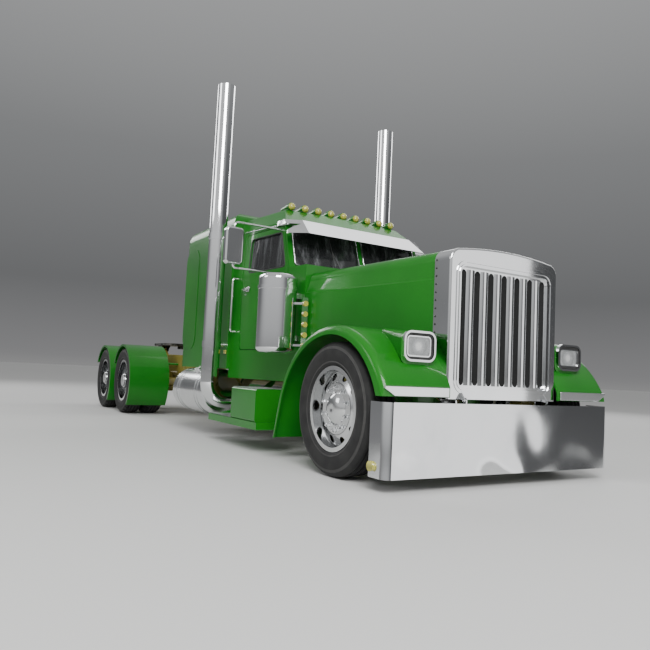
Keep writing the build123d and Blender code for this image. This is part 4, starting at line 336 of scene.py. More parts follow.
# Tyres: radial truck tyres in black rubber, ribbed on the steered wheels and lugged on the driven ones.
# Each is moulded in one piece: smooth bead, rubbing rib, bulged sidewall, shoulder and grooved tread.
tyre_rubber, where, surface = new_finish("tyre_rubber", Roughness=0.75, Specular_IOR_Level=0.25)
bloom = where.noise(9.0, 6.0)
pores = where.noise(260.0, 2.0)
lead(bloom.between(0.3, 0.7).colours((0.016, 0.016, 0.0165, 1), (0.028, 0.028, 0.0275, 1)), surface, "Base Color")
lead(bloom * 0.25 + 0.5, surface, "Roughness")
relief(pores, surface, 0.0004)
# The second rubber, on thin rings at the sidewall's ribs, is lighter: scuffing and a painted highlight.
scuffed_highlight_rubber, where, surface = new_finish("scuffed_highlight_rubber", Roughness=0.7)
scuffs_and_highlight = where.noise(30.0, 6.0)
lead(scuffs_and_highlight.colours((0.024, 0.024, 0.023, 1), (0.060, 0.059, 0.057, 1)), surface, "Base Color")
relief(scuffs_and_highlight, surface, 0.0005)
scuffed_highlight_rings = ((0.3600, 0.3710), (0.4690, 0.4910))
tyre_half_profile = (
    # radius, distance from the tyre's middle plane
    (0.3115, 0.1025), (0.3370, 0.1025), (0.3430, 0.1155), (0.3500, 0.1215), (0.3580, 0.1255), (0.3600, 0.1290),
    (0.3680, 0.1305), (0.3710, 0.1285), (0.3900, 0.1340), (0.4120, 0.1380), (0.4325, 0.1398), (0.4550, 0.1385),
    (0.4690, 0.1362), (0.4715, 0.1335), (0.4900, 0.1290), (0.5040, 0.1220), (0.5130, 0.1140), (0.5190, 0.1060),
    (0.5230, 0.1000), (0.5256, 0.0800), (0.5140, 0.0770), (0.5140, 0.0670), (0.5268, 0.0640), (0.5288, 0.0340),
    (0.5160, 0.0310), (0.5160, 0.0200), (0.5294, 0.0170))
tyre_steps = 96
lug_every = 3
lug_depth = 0.014
shoulder_low, shoulder_high = 0.084, 0.121
tread_foot = 0.500
tyre_crease = 28
twin_offset = 0.165


def new_verts(grown):
    """The vertices that an extrusion added."""
    return [item for item in grown["geom"] if isinstance(item, bmesh.types.BMVert)]


def tyre_mesh(name, places, lugged):
    """Tyres whose axes lie along Y, with their middles at the places."""
    bm = bmesh.new()
    whole = list(tyre_half_profile) + [(radius, -across) for radius, across in reversed(tyre_half_profile)]
    for place in places:
        middle = Vector(place)
        rim = [bm.verts.new(middle + Vector((radius, across, 0))) for radius, across in whole]
        edges = [bm.edges.new(pair) for pair in zip(rim, rim[1:] + rim[:1])]
        bmesh.ops.spin(bm, geom=rim + edges, cent=middle, axis=(0, 1, 0), angle=2 * pi, steps=tyre_steps,
                       use_merge=True)
    bmesh.ops.remove_doubles(bm, verts=bm.verts, dist=1e-5)
    bmesh.ops.recalc_face_normals(bm, faces=bm.faces)
    if lugged:
        for place in places:
            middle = Vector(place)
            cut = []
            for face in bm.faces:
                spoke = face.calc_center_median() - middle
                around = Vector((spoke.x, spoke.z))
                if around.length > tread_foot and shoulder_low < abs(spoke.y) < shoulder_high:
                    step = int(around.angle_signed(Vector((1, 0))) / (2 * pi) * tyre_steps + 2 * tyre_steps)
                    if (step + (lug_every // 2 if spoke.y > 0 else 0)) % lug_every == 0:
                        cut.append(face)
            grown = bmesh.ops.extrude_face_region(bm, geom=cut)
            sunk = new_verts(grown)
            shrink = 1 - lug_depth / hub_z
            bmesh.ops.scale(bm, vec=(shrink, 1, shrink), space=Matrix.Translation(-middle), verts=sunk)
            bmesh.ops.delete(bm, geom=cut, context="FACES")
        bmesh.ops.recalc_face_normals(bm, faces=bm.faces)
    mesh = mesh_of(bm, name, tyre_rubber, scuffed_highlight_rubber, crease=tyre_crease)
    # Faces on those rings take the lighter rubber, scuffing with a painted highlight.
    for polygon in mesh.polygons:
        radius = sqrt((polygon.center.x - places[0][0]) ** 2 + (polygon.center.z - places[0][2]) ** 2)
        if any(low < radius < high for low, high in scuffed_highlight_rings):
            polygon.material_index = 1
    return mesh


def add_piece(name, mesh, body, slot, *stands_for):
    """A finished mesh joins the scene and rides its body, and the CAD nodes it stands for are hidden; the slot
    argument is not used.
    """
    piece = bpy.data.objects.new(name, mesh)
    bpy.context.scene.collection.objects.link(piece)
    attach(piece, body)
    if stands_for:
        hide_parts(*stands_for)
    return piece


def middle_of(node):
    """Middle of a CAD node's box."""
    low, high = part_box(node)
    return (Vector(low) + Vector(high)) / 2


sides = (("right", -1), ("left", 1))
for side, hand in sides:
    node = f"tyre_front_{side}"
    name = f"ribbed_tyre_{side}"
    add_piece(name, tyre_mesh(name, [middle_of(node)], False), f"wheel_front_{side}", "tyre_rubber", node)
    for axle in ("front", "rear"):
        node = f"tyres_drive_{axle}_{side}"
        middle = middle_of(node)
        twins = [middle + Vector((0, offset, 0)) for offset in (-twin_offset, twin_offset)]
        name = f"lugged_tyres_{axle}_{side}"
        add_piece(name, tyre_mesh(name, twins, True), f"wheels_drive_{axle}_{side}", "tyre_rubber", node)

# Wheel nuts: ten flanged steel nuts with round caps, chrome plated, clamp each wheel to its hub
# on one bolt circle.
nut_circle = 0.167
nut_across = 0.017
nut_height = 0.026
nut_count = 10
front_nut_y, drive_nut_y = 1.123, 0.928
bm = bmesh.new()
bmesh.ops.create_cone(bm, cap_ends=True, segments=16, radius1=nut_across * 1.3, radius2=nut_across * 1.2,
                      depth=0.006, matrix=Matrix.Translation((0, 0, 0.003)))
bmesh.ops.create_cone(bm, cap_ends=True, segments=6, radius1=nut_across, radius2=nut_across, depth=nut_height,
                      matrix=Matrix.Translation((0, 0, nut_height / 2)))
bmesh.ops.create_uvsphere(bm, u_segments=12, v_segments=6, radius=nut_across * 0.8,
                          matrix=Matrix.Translation((0, 0, nut_height)))
nut_mesh = mesh_of(bm, "wheel_nut")


def stamp(name, template, matrices, material):
    """One mesh of many copies of a small one."""
    bm = bmesh.new()
    for matrix in matrices:
        before = len(bm.verts)
        bm.from_mesh(template)
        bm.verts.ensure_lookup_table()
        bmesh.ops.transform(bm, matrix=matrix, verts=bm.verts[before:])
    mesh = mesh_of(bm, name, material)
    return mesh


def facing(direction, place):
    """Matrix that stands a copy's Z axis along a direction at a place."""
    return Matrix.Translation(place) @ Vector(direction).to_track_quat("Z", "Y").to_matrix().to_4x4()


def nuts_on(name, centre, outward, body):
    """A ring of wheel nuts about a wheel's axis, standing outwards."""
    turns = [2 * pi * (n + 0.5) / nut_count for n in range(nut_count)]
    places = [centre + Vector((nut_circle * cos(turn), 0, nut_circle * sin(turn))) for turn in turns]
    mesh = stamp(name, nut_mesh, [facing((0, outward, 0), place) for place in places], chrome)
    add_piece(name, mesh, body, "chrome")


for side, hand in sides:
    nuts_on(f"front_nuts_{side}", Vector((steer_x, hand * front_nut_y, hub_z)), hand, f"wheel_front_{side}")
    for axle in ("front", "rear"):
        middle = middle_of(f"rims_drive_{axle}_{side}")
        nuts_on(f"drive_nuts_{axle}_{side}", Vector((middle.x, hand * drive_nut_y, hub_z)), hand,
                f"wheels_drive_{axle}_{side}")

# Body paint: a deep bright green under clear lacquer, smooth and glossy, with slight orange peel
# and a fine fleck.
green_bright = (0.009, 0.185, 0.008, 1)
green_deep = (0.005, 0.115, 0.005, 1)
body_paint, where, surface = new_finish("body_paint", Roughness=0.35, Specular_IOR_Level=0.2, Coat_Weight=0.4,
                                        Coat_Roughness=0.03)
fleck = where.noise(420.0, 2.0)
cloud = where.noise(1.1, 3.0)
peel = where.noise(160.0, 1.0)
lead((fleck * 0.5 + cloud * 0.5).between(0.35, 0.65).colours(green_deep, green_bright), surface, "Base Color")
relief(peel, surface, 0.0002)
dress(body_paint, "hood", "front_fenders", "cab_body", "cab_roof", "sleeper_body", "sleeper_roof", "door_right",
      "door_left", "rear_fenders", "step_boxes")

# Glass: dark tinted panes in the cab, clear moulded lenses in the headlamps, amber and red lamp lenses.
tinted, where, surface = new_finish("tinted_glass", Base_Color=(0.03, 0.034, 0.035, 1), Roughness=0.02, Alpha=0.80,
                                    Coat_Weight=0.3)
smear = where.noise(3.0, 5.0)
lead(smear * 0.06 + 0.01, surface, "Roughness")
# Painted reflections: pale vertical streaks in the panes' colour.
drawn_out = where.make("Mapping", {}, {"Vector": where, "Scale": (3.6, 3.6, 0.22)})
reflection_streaks = drawn_out.noise(2.6, 3.0, 0.7)
lead(reflection_streaks.between(0.46, 0.68).colours((0.022, 0.023, 0.024, 1), (0.125, 0.13, 0.135, 1)), surface, "Base Color")
dress(tinted, "windshield", "door_glass_right", "door_glass_left")
lamp_glass, where, surface = new_finish("lamp_glass", Base_Color=(0.60, 0.62, 0.62, 1), Roughness=0.05, Alpha=0.18)
flutes = where.make("TexWave", {"bands_direction": "Y"}, {
    "Vector": where, "Scale": 18.0})
relief(flutes, surface, 0.002)
dress(lamp_glass, "headlamp_lenses")
amber, where, surface = new_finish("amber_lens", Roughness=0.12, Coat_Weight=0.8)
facets = where.make("TexWave", {"wave_type": "RINGS"}, {
    "Vector": where, "Scale": 25.0})
lead(facets.colours((0.27, 0.25, 0.03, 1), (0.58, 0.55, 0.10, 1)), surface, "Base Color")
relief(facets, surface, 0.001)
dress(amber, "amber_lenses")
red_lens, where, surface = new_finish("red_lens", Roughness=0.12, Coat_Weight=0.8)
facets = where.make("TexWave", {"bands_direction": "Z"}, {
    "Vector": where, "Scale": 30.0})
lead(facets.colours((0.30, 0.01, 0.01, 1), (0.60, 0.03, 0.02, 1)), surface, "Base Color")
relief(facets, surface, 0.001)
dress(red_lens, "tail_lamps")

# Coupling and air tanks: the fifth wheel is bare plate under dark grease; the air tanks are grey enamel.
greased, where, surface = new_finish("greased_steel", Metallic=0.8, Roughness=0.35)
grease = where.noise(6.0, 7.0)
lead(grease.between(0.4, 0.7).colours((0.16, 0.15, 0.14, 1), (0.02, 0.018, 0.014, 1)), surface, "Base Color")
lead(grease * 0.4 + 0.15, surface, "Roughness")
relief(grease, surface, 0.003)
dress(greased, "fifth_wheel")
tank_enamel, where, surface = new_finish("tank_enamel", Roughness=0.4, Coat_Weight=0.3)
scuff = where.noise(8.0, 6.0)
lead(scuff.colours((0.035, 0.037, 0.038, 1), (0.10, 0.105, 0.11, 1)), surface, "Base Color")
relief(scuff, surface, 0.001)
dress(tank_enamel, "air_tanks")

# Interior: vinyl seats, a moulded dashboard and wheel, and a cloth-covered bunk, all in dark greys.
vinyl, where, surface = new_finish("seat_vinyl", Roughness=0.5)
hide = where.make("TexVoronoi", {}, {"Vector": where, "Scale": 260.0})
lead(hide.colours((0.05, 0.05, 0.048, 1), (0.10, 0.10, 0.095, 1)), surface, "Base Color")
relief(hide, surface, 0.0008)
dress(vinyl, "seats")
moulding, where, surface = new_finish("trim_moulding", Roughness=0.6)
grained = where.make("TexVoronoi", {}, {"Vector": where, "Scale": 400.0})
lead(grained.colours((0.03, 0.03, 0.03, 1), (0.06, 0.06, 0.06, 1)), surface, "Base Color")
relief(grained, surface, 0.0005)
dress(moulding, "dashboard", "steering_wheel")
bedding, where, surface = new_finish("bedding_cloth", Roughness=0.9)
weave = where.make("TexWave", {}, {"Vector": where, "Scale": 120.0})
lead(weave.colours((0.16, 0.17, 0.18, 1), (0.26, 0.27, 0.28, 1)), surface, "Base Color")
relief(weave, surface, 0.0008)
dress(bedding, "bunk")

# Chassis bolts: flanged hexagon bolts hold each crossmember through the rails' webs, four to a side.
# They were painted over with the chassis.
bm = bmesh.new()
bmesh.ops.create_cone(bm, cap_ends=True, segments=12, radius1=0.017, radius2=0.016, depth=0.004,
                      matrix=Matrix.Translation((0, 0, 0.002)))
bmesh.ops.create_cone(bm, cap_ends=True, segments=6, radius1=0.012, radius2=0.011, depth=0.014,
                      matrix=Matrix.Translation((0, 0, 0.007)))
bolt_mesh = mesh_of(bm, "frame_bolt")
rail_face_y = 0.432
bolt_rows = (2.120, 2.900, 3.700, 4.600, 5.600, 7.110, 8.350)
bolt_spots = ((-0.03, 0.80), (-0.03, 0.90), (0.03, 0.80), (0.03, 0.90))
frame_bolts = [facing((0, hand, 0), (steer_x - row + along, hand * rail_face_y, z))
               for hand in (-1, 1) for row in bolt_rows for along, z in bolt_spots]
add_piece("frame_bolts", stamp("frame_bolts", bolt_mesh, frame_bolts, chassis_paint), "truck", "frame_paint")

# Tread plate: aluminium chequer plate on the deck behind the sleeper and on the steps, its bars raised
# in alternate directions.
tread_finish, where, surface = new_finish("tread_plate", Metallic=1.0, Roughness=0.3)
scratch = where.noise(30.0, 8.0)
lead(scratch.colours((0.42, 0.43, 0.44, 1), (0.72, 0.73, 0.74, 1)), surface, "Base Color")
lead(scratch * 0.3 + 0.18, surface, "Roughness")


def button(name, size, u_segments, v_segments):
    """A small domed button or bar of those half sizes, to be stamped many times."""
    bm = bmesh.new()
    bmesh.ops.create_uvsphere(bm, u_segments=u_segments, v_segments=v_segments, radius=1.0)
    bmesh.ops.scale(bm, vec=size, verts=bm.verts)
    return mesh_of(bm, name)


bar_mesh = button("tread_bar", (0.0125, 0.0035, 0.0018), 6, 4)
bar_pitch = 0.030
plate_margin = 0.02


def block(bm, size, middle):
    """A block of that size about its middle; gives its vertices."""
    verts = bmesh.ops.create_cube(bm, size=1.0)["verts"]
    bmesh.ops.scale(bm, vec=size, verts=verts)
    bmesh.ops.translate(bm, vec=middle, verts=verts)
    return verts


def ease(bm, edges, radius, segments=3):
    """Rounds edges to a radius."""
    bmesh.ops.bevel(bm, geom=edges, offset=radius, offset_type="OFFSET", segments=segments, profile=0.5,
                    affect="EDGES", material=-1)


def tread_plate(name, low, high, body):
    """A thin plate with rows of raised bars on its top."""
    low, high = Vector(low), Vector(high)
    size = high - low
    bm = bmesh.new()
    block(bm, size, (low + high) / 2)
    ease(bm, bm.edges, 0.0015, 2)
    plate = mesh_of(bm, name)
    spots = []
    for column in range(int((size.x - plate_margin) / bar_pitch)):
        for row in range(int((size.y - plate_margin) / bar_pitch)):
            along, across = ((n + 0.5) * bar_pitch + plate_margin / 2 for n in (column, row))
            turn = pi / 4 if (column + row) % 2 else -pi / 4
            place = Matrix.Translation((low.x + along, low.y + across, high.z))
            spots.append(place @ Matrix.Rotation(turn, 4, "Z"))
    bars = stamp(name + "_bars", bar_mesh, spots, tread_finish)
    bm = bmesh.new()
    bm.from_mesh(plate)
    bm.from_mesh(bars)
    mesh = mesh_of(bm, name + "_plate", tread_finish)
    add_piece(name, mesh, body, "polished_aluminium")


deck_top = 0.986
tread_plate("deck_plate", (steer_x - 5.45, -0.415, 0.981), (steer_x - 4.40, 0.415, deck_top), "truck")
for side, hand in sides:
    y_pair = sorted((hand * 0.885, hand * 1.19))
    tread_plate(f"step_tread_{side}", (steer_x - 2.50, y_pair[0], 0.305),
                (steer_x - 1.92, y_pair[1], 0.309), "truck")
    tread_plate(f"box_tread_{side}", (steer_x - 1.89, y_pair[0] if hand < 0 else 0.76, 0.621),
                (steer_x - 1.33, y_pair[1] if hand > 0 else -0.76, 0.625), "truck")

# Radiator shell rivets: domed steel rivets fix the shell to the hood's skin. They run in a row close to the
# shell's rear edge, up both sides and over the top, and have gone dark.
rivet_mesh = button("rivet", (0.0095, 0.0095, 0.005), 12, 6)
rivet_steel, where, surface = new_finish("rivet_steel", Metallic=0.9, Roughness=0.35)
tarnish = where.noise(60.0, 4.0)
lead(tarnish.colours((0.02, 0.02, 0.02, 1), (0.10, 0.10, 0.10, 1)), surface, "Base Color")
rivet_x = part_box("grille_shell")[0][0] + 0.022
shell_half = 0.595
rivet_pitch = 0.062
side_rivets = [(hand * shell_half, 0.72 + n * rivet_pitch, hand, 0) for hand in (-1, 1) for n in range(17)]
crown_rivets = []
for n in range(-7, 8):
    y = n * 0.066
    crown_rivets.append((y, 1.835 - 0.035 * (y / 0.50) ** 2, 0, 1))
shell_rivets = [facing((0, out_y, out_z), (rivet_x, y, z)) for y, z, out_y, out_z in side_rivets + crown_rivets]
add_piece("shell_rivets", stamp("shell_rivets", rivet_mesh, shell_rivets, rivet_steel), "hood", "chrome")

# Fender strips: a polished stainless steel bar is screwed along the foot of each front fender.
# Its outer end is cut back.
strip_x = steer_x + 0.7165
strip_low, strip_high = 0.668, 0.738
strip_inner, strip_outer = 0.612, 1.200
for side, hand in sides:
    bm = bmesh.new()
    corners = ((strip_inner, strip_low), (strip_outer - 0.09, strip_low), (strip_outer, strip_high - 0.018),
               (strip_outer, strip_high), (strip_inner, strip_high))
    ring = [bm.verts.new((strip_x, hand * y, z)) for y, z in corners]
    face = bm.faces.new(ring)
    grown = bmesh.ops.extrude_face_region(bm, geom=[face])
    bmesh.ops.translate(bm, vec=(0.014, 0, 0), verts=new_verts(grown))
    bmesh.ops.recalc_face_normals(bm, faces=bm.faces)
    ease(bm, bm.edges, 0.004)
    mesh = mesh_of(bm, f"fender_strip_{side}", chrome)
    add_piece(f"fender_strip_{side}", mesh, "hood", "chrome")


def round_rod(bm, path, radius, segments=10):
    """A round rod along a path: circles at its points, bridged and capped."""
    path = [Vector(point) for point in path]
    loops = []
    for n, point in enumerate(path):
        before = path[max(n - 1, 0)]
        after = path[min(n + 1, len(path) - 1)]
        made = bmesh.ops.create_circle(bm, cap_ends=False, segments=segments, radius=radius,
                                       matrix=facing(after - before, point))
        loops.append(list({edge for vert in made["verts"] for edge in vert.link_edges}))
    for first, second in zip(loops, loops[1:]):
        bmesh.ops.bridge_loops(bm, edges=first + second)
    bmesh.ops.holes_fill(bm, edges=loops[0] + loops[-1], sides=segments)


def smooth_path(corners, radius, steps=5):
    """Points of a path whose inner corners are rounded."""
    corners = [Vector(corner) for corner in corners]
    path = [corners[0]]
    for before, corner, after in zip(corners, corners[1:], corners[2:]):
        start_point = corner + (before - corner).normalized() * radius
        end_point = corner + (after - corner).normalized() * radius
        for n in range(steps + 1):
            share = n / steps
            path.append(start_point.lerp(corner, share).lerp(corner.lerp(end_point, share), share))
    path.append(corners[-1])
    return path


def rod_piece(name, paths, radius, material, body, slot, segments=10):
    """Round rods of one thickness as one piece."""
    bm = bmesh.new()
    for path in paths:
        round_rod(bm, path, radius, segments)
    bmesh.ops.recalc_face_normals(bm, faces=bm.faces)
    mesh = mesh_of(bm, name, material, crease=50)
    add_piece(name, mesh, body, slot)


# Grille screen: a woven wire bug screen stands behind the bars. It is near black, painted shade that makes the
# slots between the bars read dark. It is held in the radiator shell.
screen_wire_shade, where, surface = new_finish("bug_screen_shade", Metallic=0.4, Roughness=0.6)
upright_wires = where.make("TexWave", {"bands_direction": "Y"}, {"Vector": where, "Scale": 60.0})
level_wires = where.make("TexWave", {"bands_direction": "Z"}, {"Vector": where, "Scale": 60.0})
mesh_pattern = upright_wires * level_wires
# Painted shade: the screen is near black, so the slots between the bars read dark.
lead(mesh_pattern.colours((0.004, 0.004, 0.004, 1), (0.022, 0.022, 0.022, 1)), surface, "Base Color")
relief(mesh_pattern, surface, 0.001)


def rounded_slab(bm, x, depth, half_width, half_height, corner, middle_y, middle_z):
    """A slab across the truck with rounded corners, its back at x."""
    verts = block(bm, (depth, 2 * half_width, 2 * half_height), (x + depth / 2, middle_y, middle_z))
    long_edges = [edge for edge in {e for v in verts for e in v.link_edges}
                  if abs((edge.verts[0].co - edge.verts[1].co).x) > depth / 2]
    ease(bm, long_edges, corner, 6)


bars_low, bars_high = (Vector(corner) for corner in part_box("grille_bars"))
bm = bmesh.new()
rounded_slab(bm, bars_low.x - 0.006, 0.004, bars_high.y - 0.012, (bars_high.z - bars_low.z) / 2 - 0.012, 0.04, 0,
             (bars_low.z + bars_high.z) / 2)
mesh = mesh_of(bm, "bug_screen_shade", screen_wire_shade)
add_piece("bug_screen_shade", mesh, "hood", "trim_plastic")

# Headlamps: inside the nested bright frames a black gasket carries a silvered reflector and a crowned,
# fluted lens. The gasket and a thinner black inlay lie in the grooves between the frames as painted shade,
# and the reflector's colour is a painted highlight and shade.
rubber_strip, where, surface = new_finish("window_rubber", Roughness=0.6)
bloomed = where.noise(35.0, 5.0)
lead(bloomed.colours((0.008, 0.008, 0.008, 1), (0.035, 0.035, 0.034, 1)), surface, "Base Color")
lead(bloomed * 0.3 + 0.4, surface, "Roughness")
lamp_low, lamp_high = (Vector(corner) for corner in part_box("headlamps"))
lens_low, lens_high = (Vector(corner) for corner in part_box("headlamp_lenses"))
bezel_edge = lamp_high.y - lens_high.y
lamp_middle_z = (lens_low.z + lens_high.z) / 2
lamp_half_height = (lamp_high.z - lamp_low.z) / 2
lamp_widening = 0.035
lamp_half_width = lamp_half_height + lamp_widening
lamp_middle_y = lamp_high.y - lamp_half_width
reflector_highlight_shade, where, surface = new_finish("lamp_reflector_highlight_shade", Metallic=0.6, Roughness=0.3)
outwards = where.maths("ABSOLUTE", where.axis(1)) - lamp_middle_y
upwards = where.axis(2) - lamp_middle_z
from_bulb = where.maths("SQRT", outwards * outwards + upwards * upwards)
# Painted highlight and shade: the reflector is near white at the middle and darkens outwards to near black at its
# edge, with one paler ring between.
lead(where.make("ValToRGB", {"stops": (
    (0.0, (0.95, 0.95, 0.93, 1)), (0.18, (0.85, 0.85, 0.84, 1)), (0.30, (0.42, 0.43, 0.44, 1)),
    (0.55, (0.20, 0.205, 0.21, 1)), (0.75, (0.34, 0.345, 0.35, 1)), (1.0, (0.10, 0.10, 0.105, 1)))},
    {0: from_bulb * 8.0}), surface, "Base Color")


def rounded_ring(bm, back, depth, inset, width, corner):
    """A flat ring in the shape of the lamp's frames, inset from their outer edge."""
    rounded_slab(bm, back, depth, lamp_half_width - inset, lamp_half_height - inset, corner, 0, lamp_middle_z)
    ends = [pick(bm.faces, key=lambda face: face.calc_center_median().x) for pick in (min, max)]
    for face in ends:
        bmesh.ops.inset_region(bm, faces=[face], thickness=width, use_even_offset=True)
    rims = [edge for face in ends for edge in face.edges]
    bmesh.ops.delete(bm, geom=ends, context="FACES_ONLY")
    bmesh.ops.bridge_loops(bm, edges=rims)
    bmesh.ops.recalc_face_normals(bm, faces=bm.faces)


def crowned_slab(bm, back, depth, inset, corner, crown):
    """A slab in the shape of the lens, its front crowned in steps."""
    rounded_slab(bm, back, depth, lamp_half_width - inset, lamp_half_height - inset, corner, 0, lamp_middle_z)
    for n in range(crown):
        front = max(bm.faces, key=lambda face: face.calc_center_median().x)
        grown = bmesh.ops.extrude_face_region(bm, geom=[front])
        raised = new_verts(grown)
        shrink = (crown - n - 0.5) / (crown - n + 0.5)
        bmesh.ops.scale(bm, vec=(1, shrink, shrink), verts=raised,
                        space=Matrix.Translation((0, 0, -lamp_middle_z)))
        bmesh.ops.translate(bm, vec=(0.0026 * (1 - n / crown), 0, 0), verts=raised)
        bmesh.ops.delete(bm, geom=[front], context="FACES")


for name, shape, sizes, material, slot in (
        # sizes: how far above the lamp's face, depth, inset, then a ring's width and corner or a slab's corner
        # and crown
        # The gaskets and inlays are black rubber rings in the grooves between the bright frames, standing in for
        # their shade.
        ("lamp_gaskets", rounded_ring, (0.0120, 0.0010, 0.010, 0.032, 0.050), rubber_strip, "trim_plastic"),
        ("lamp_inlays", rounded_ring, (0.0222, 0.0006, 0.022, 0.008, 0.044), rubber_strip, "trim_plastic"),
        ("lamp_reflectors", crowned_slab, (0.0062, 0.0020, bezel_edge - 0.001, 0.018, 0), reflector_highlight_shade, "chrome"),
        ("lamp_lenses", crowned_slab, (0.0083, 0.0030, bezel_edge, 0.018, 6), lamp_glass, "lamp_glass")):
    bm = bmesh.new()
    shape(bm, lens_low.x + sizes[0], *sizes[1:])
    one = mesh_of(bm, name + "_one")
    mesh = stamp(name, one, [Matrix.Translation((0, hand * lamp_middle_y, 0)) for hand in (-1, 1)], material)
    for polygon in mesh.polygons:
        polygon.use_smooth = True
    mesh.set_sharp_from_angle(angle=radians(40))
    add_piece(name, mesh, "hood", slot, *(("headlamp_lenses",) if name == "lamp_lenses" else ()))

# Exhaust soot: the stacks are open chromed pipes, cut off square. Soot lines their mouths, so they are
# black inside.
soot, where, surface = new_finish("pipe_soot", Roughness=0.9)
flake = where.noise(50.0, 5.0)
lead(flake.colours((0.004, 0.004, 0.004, 1), (0.03, 0.028, 0.026, 1)), surface, "Base Color")
stack_mouth_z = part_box("stacks")[1][2] - 0.255
stack_x = steer_x - 2.650
stack_y = 1.160
stack_bore = 0.0978
soot_height = 0.245
bm = bmesh.new()
for hand in (-1, 1):
    made = bmesh.ops.create_circle(bm, cap_ends=True, segments=48, radius=stack_bore,
                                   matrix=Matrix.Translation((stack_x, hand * stack_y, stack_mouth_z)))
    rim = [edge for edge in {e for v in made["verts"] for e in v.link_edges}]
    grown = bmesh.ops.extrude_edge_only(bm, edges=rim)
    bmesh.ops.translate(bm, vec=(0, 0, soot_height), verts=new_verts(grown))
soot_mesh = mesh_of(bm, "pipe_soot", soot)
add_piece("pipe_soot", soot_mesh, "truck", "chrome")

# Window rubbers: extruded black rubber holds each fixed pane in its opening, with a bright locking strip in
# the windshield's, and seals the door windows.
firewall_x = steer_x - 1.110
cab_back_x = steer_x - 2.550
cab_front_half, cab_back_half = 0.832, 0.980
belt_z, header_z = 1.850, 2.360
tumblehome = 0.032
screen_rake = 0.170


def cab_side_y(x, z):
    """Distance of the cab's outer skin from the truck's middle."""
    share = (firewall_x - x) / (firewall_x - cab_back_x)
    lean = tumblehome * max(0.0, z - belt_z) / (header_z - belt_z)
    return cab_front_half + (cab_back_half - cab_front_half) * share - lean


door_front_x = steer_x - 1.432
rake_slope = screen_rake / (header_z - belt_z)
window_corners = (
    (door_front_x - 0.048 - (1.868 - belt_z) * rake_slope, 1.868),
    (door_front_x - 0.048 - (2.245 - belt_z) * rake_slope, 2.245),
    (steer_x - 2.215, 2.245), (steer_x - 2.215, 1.868))
for side, hand in sides:
    skin = [Vector((x, hand * (cab_side_y(x, z) - 0.001), z)) for x, z in window_corners]
    loop = smooth_path([skin[0].lerp(skin[-1], 0.5)] + skin + [skin[0].lerp(skin[-1], 0.5)], 0.045)
    rod_piece(f"door_window_rubber_{side}", [loop], 0.007, rubber_strip, f"door_{side}", "trim_plastic", 8)

screen_corners = {}
for hand in (-1, 1):
    foot_centre = Vector((steer_x - 1.345, 0, belt_z))
    head_centre = Vector((steer_x - 1.345 - screen_rake, 0, header_z))
    foot_side_y = cab_side_y(steer_x - 1.40, belt_z)
    head_side_y = cab_side_y(steer_x - 1.345 - screen_rake - 0.05, header_z)
    foot_side = Vector((steer_x - 1.400, hand * foot_side_y, belt_z))
    head_side = Vector((steer_x - 1.345 - screen_rake - 0.055, hand * head_side_y, header_z))
    across_foot = (foot_side - foot_centre).normalized()
    across_head = (head_side - head_centre).normalized()
    rise = (head_centre - foot_centre).normalized()
    outward = across_foot.cross(rise) * hand
    low_inner = foot_centre + across_foot * 0.032 + rise * 0.030
    low_outer = foot_side - across_foot * 0.062 + rise * 0.030
    high_inner = head_centre + across_head * 0.032 - rise * 0.050
    high_outer = head_side - across_head * 0.062 - rise * 0.050
    corners = [point + outward * 0.002 for point in (low_inner, low_outer, high_outer, high_inner)]
    screen_corners[hand] = corners
    middle_low = corners[0].lerp(corners[1], 0.5)
    loop = smooth_path([middle_low] + corners[1:] + [corners[0], middle_low], 0.045)
    side = "right" if hand < 0 else "left"
    rod_piece(f"screen_rubber_{side}", [loop], 0.009, rubber_strip, "truck", "trim_plastic", 8)
    bright_loop = [point + outward * 0.005 for point in loop]
    rod_piece(f"screen_trim_{side}", [bright_loop], 0.0065, chrome, "truck", "chrome", 8)

# Wipers: each pane has one, a pressed steel arm with a long blade, painted black. It turns on a spindle
# at the pane's foot.
for hand in (-1, 1):
    low_inner, low_outer, high_outer, high_inner = screen_corners[hand]
    side = "right" if hand < 0 else "left"
    outward = (low_outer - low_inner).cross(high_inner - low_inner).normalized()
    if outward.x < 0:
        outward = -outward
    pivot = low_inner.lerp(low_outer, 0.30) - Vector((0, 0, 0.035)) + outward * 0.018
    elbow = low_inner.lerp(low_outer, 0.42).lerp(high_inner.lerp(high_outer, 0.42), 0.42) + outward * 0.016
    blade_low = elbow.lerp(low_inner.lerp(low_outer, 0.40), 0.75) + outward * 0.004
    blade_high = elbow.lerp(high_inner.lerp(high_outer, 0.46), 0.62) + outward * 0.004
    bm = bmesh.new()
    round_rod(bm, smooth_path([pivot - outward * 0.02, pivot, elbow], 0.010, 3), 0.006, 8)
    round_rod(bm, [blade_low, elbow, blade_high], 0.005, 6)
    bmesh.ops.recalc_face_normals(bm, faces=bm.faces)
    mesh = mesh_of(bm, f"wiper_{side}", rubber_strip)
    add_piece(f"wiper_{side}", mesh, "truck", "trim_plastic")

# Drip rails: a bright rolled gutter is fixed over each door, from the screen pillar back to the
# sleeper.
for side, hand in sides:
    rail_points = [(x, hand * (cab_side_y(x, z) + 0.004), z) for x, z in (
        (steer_x - 1.500, 2.318), (steer_x - 1.900, 2.335), (steer_x - 2.350, 2.345), (steer_x - 2.530, 2.345))]
    rod_piece(f"drip_rail_{side}", [rail_points], 0.008, chrome, "truck", "chrome", 8)

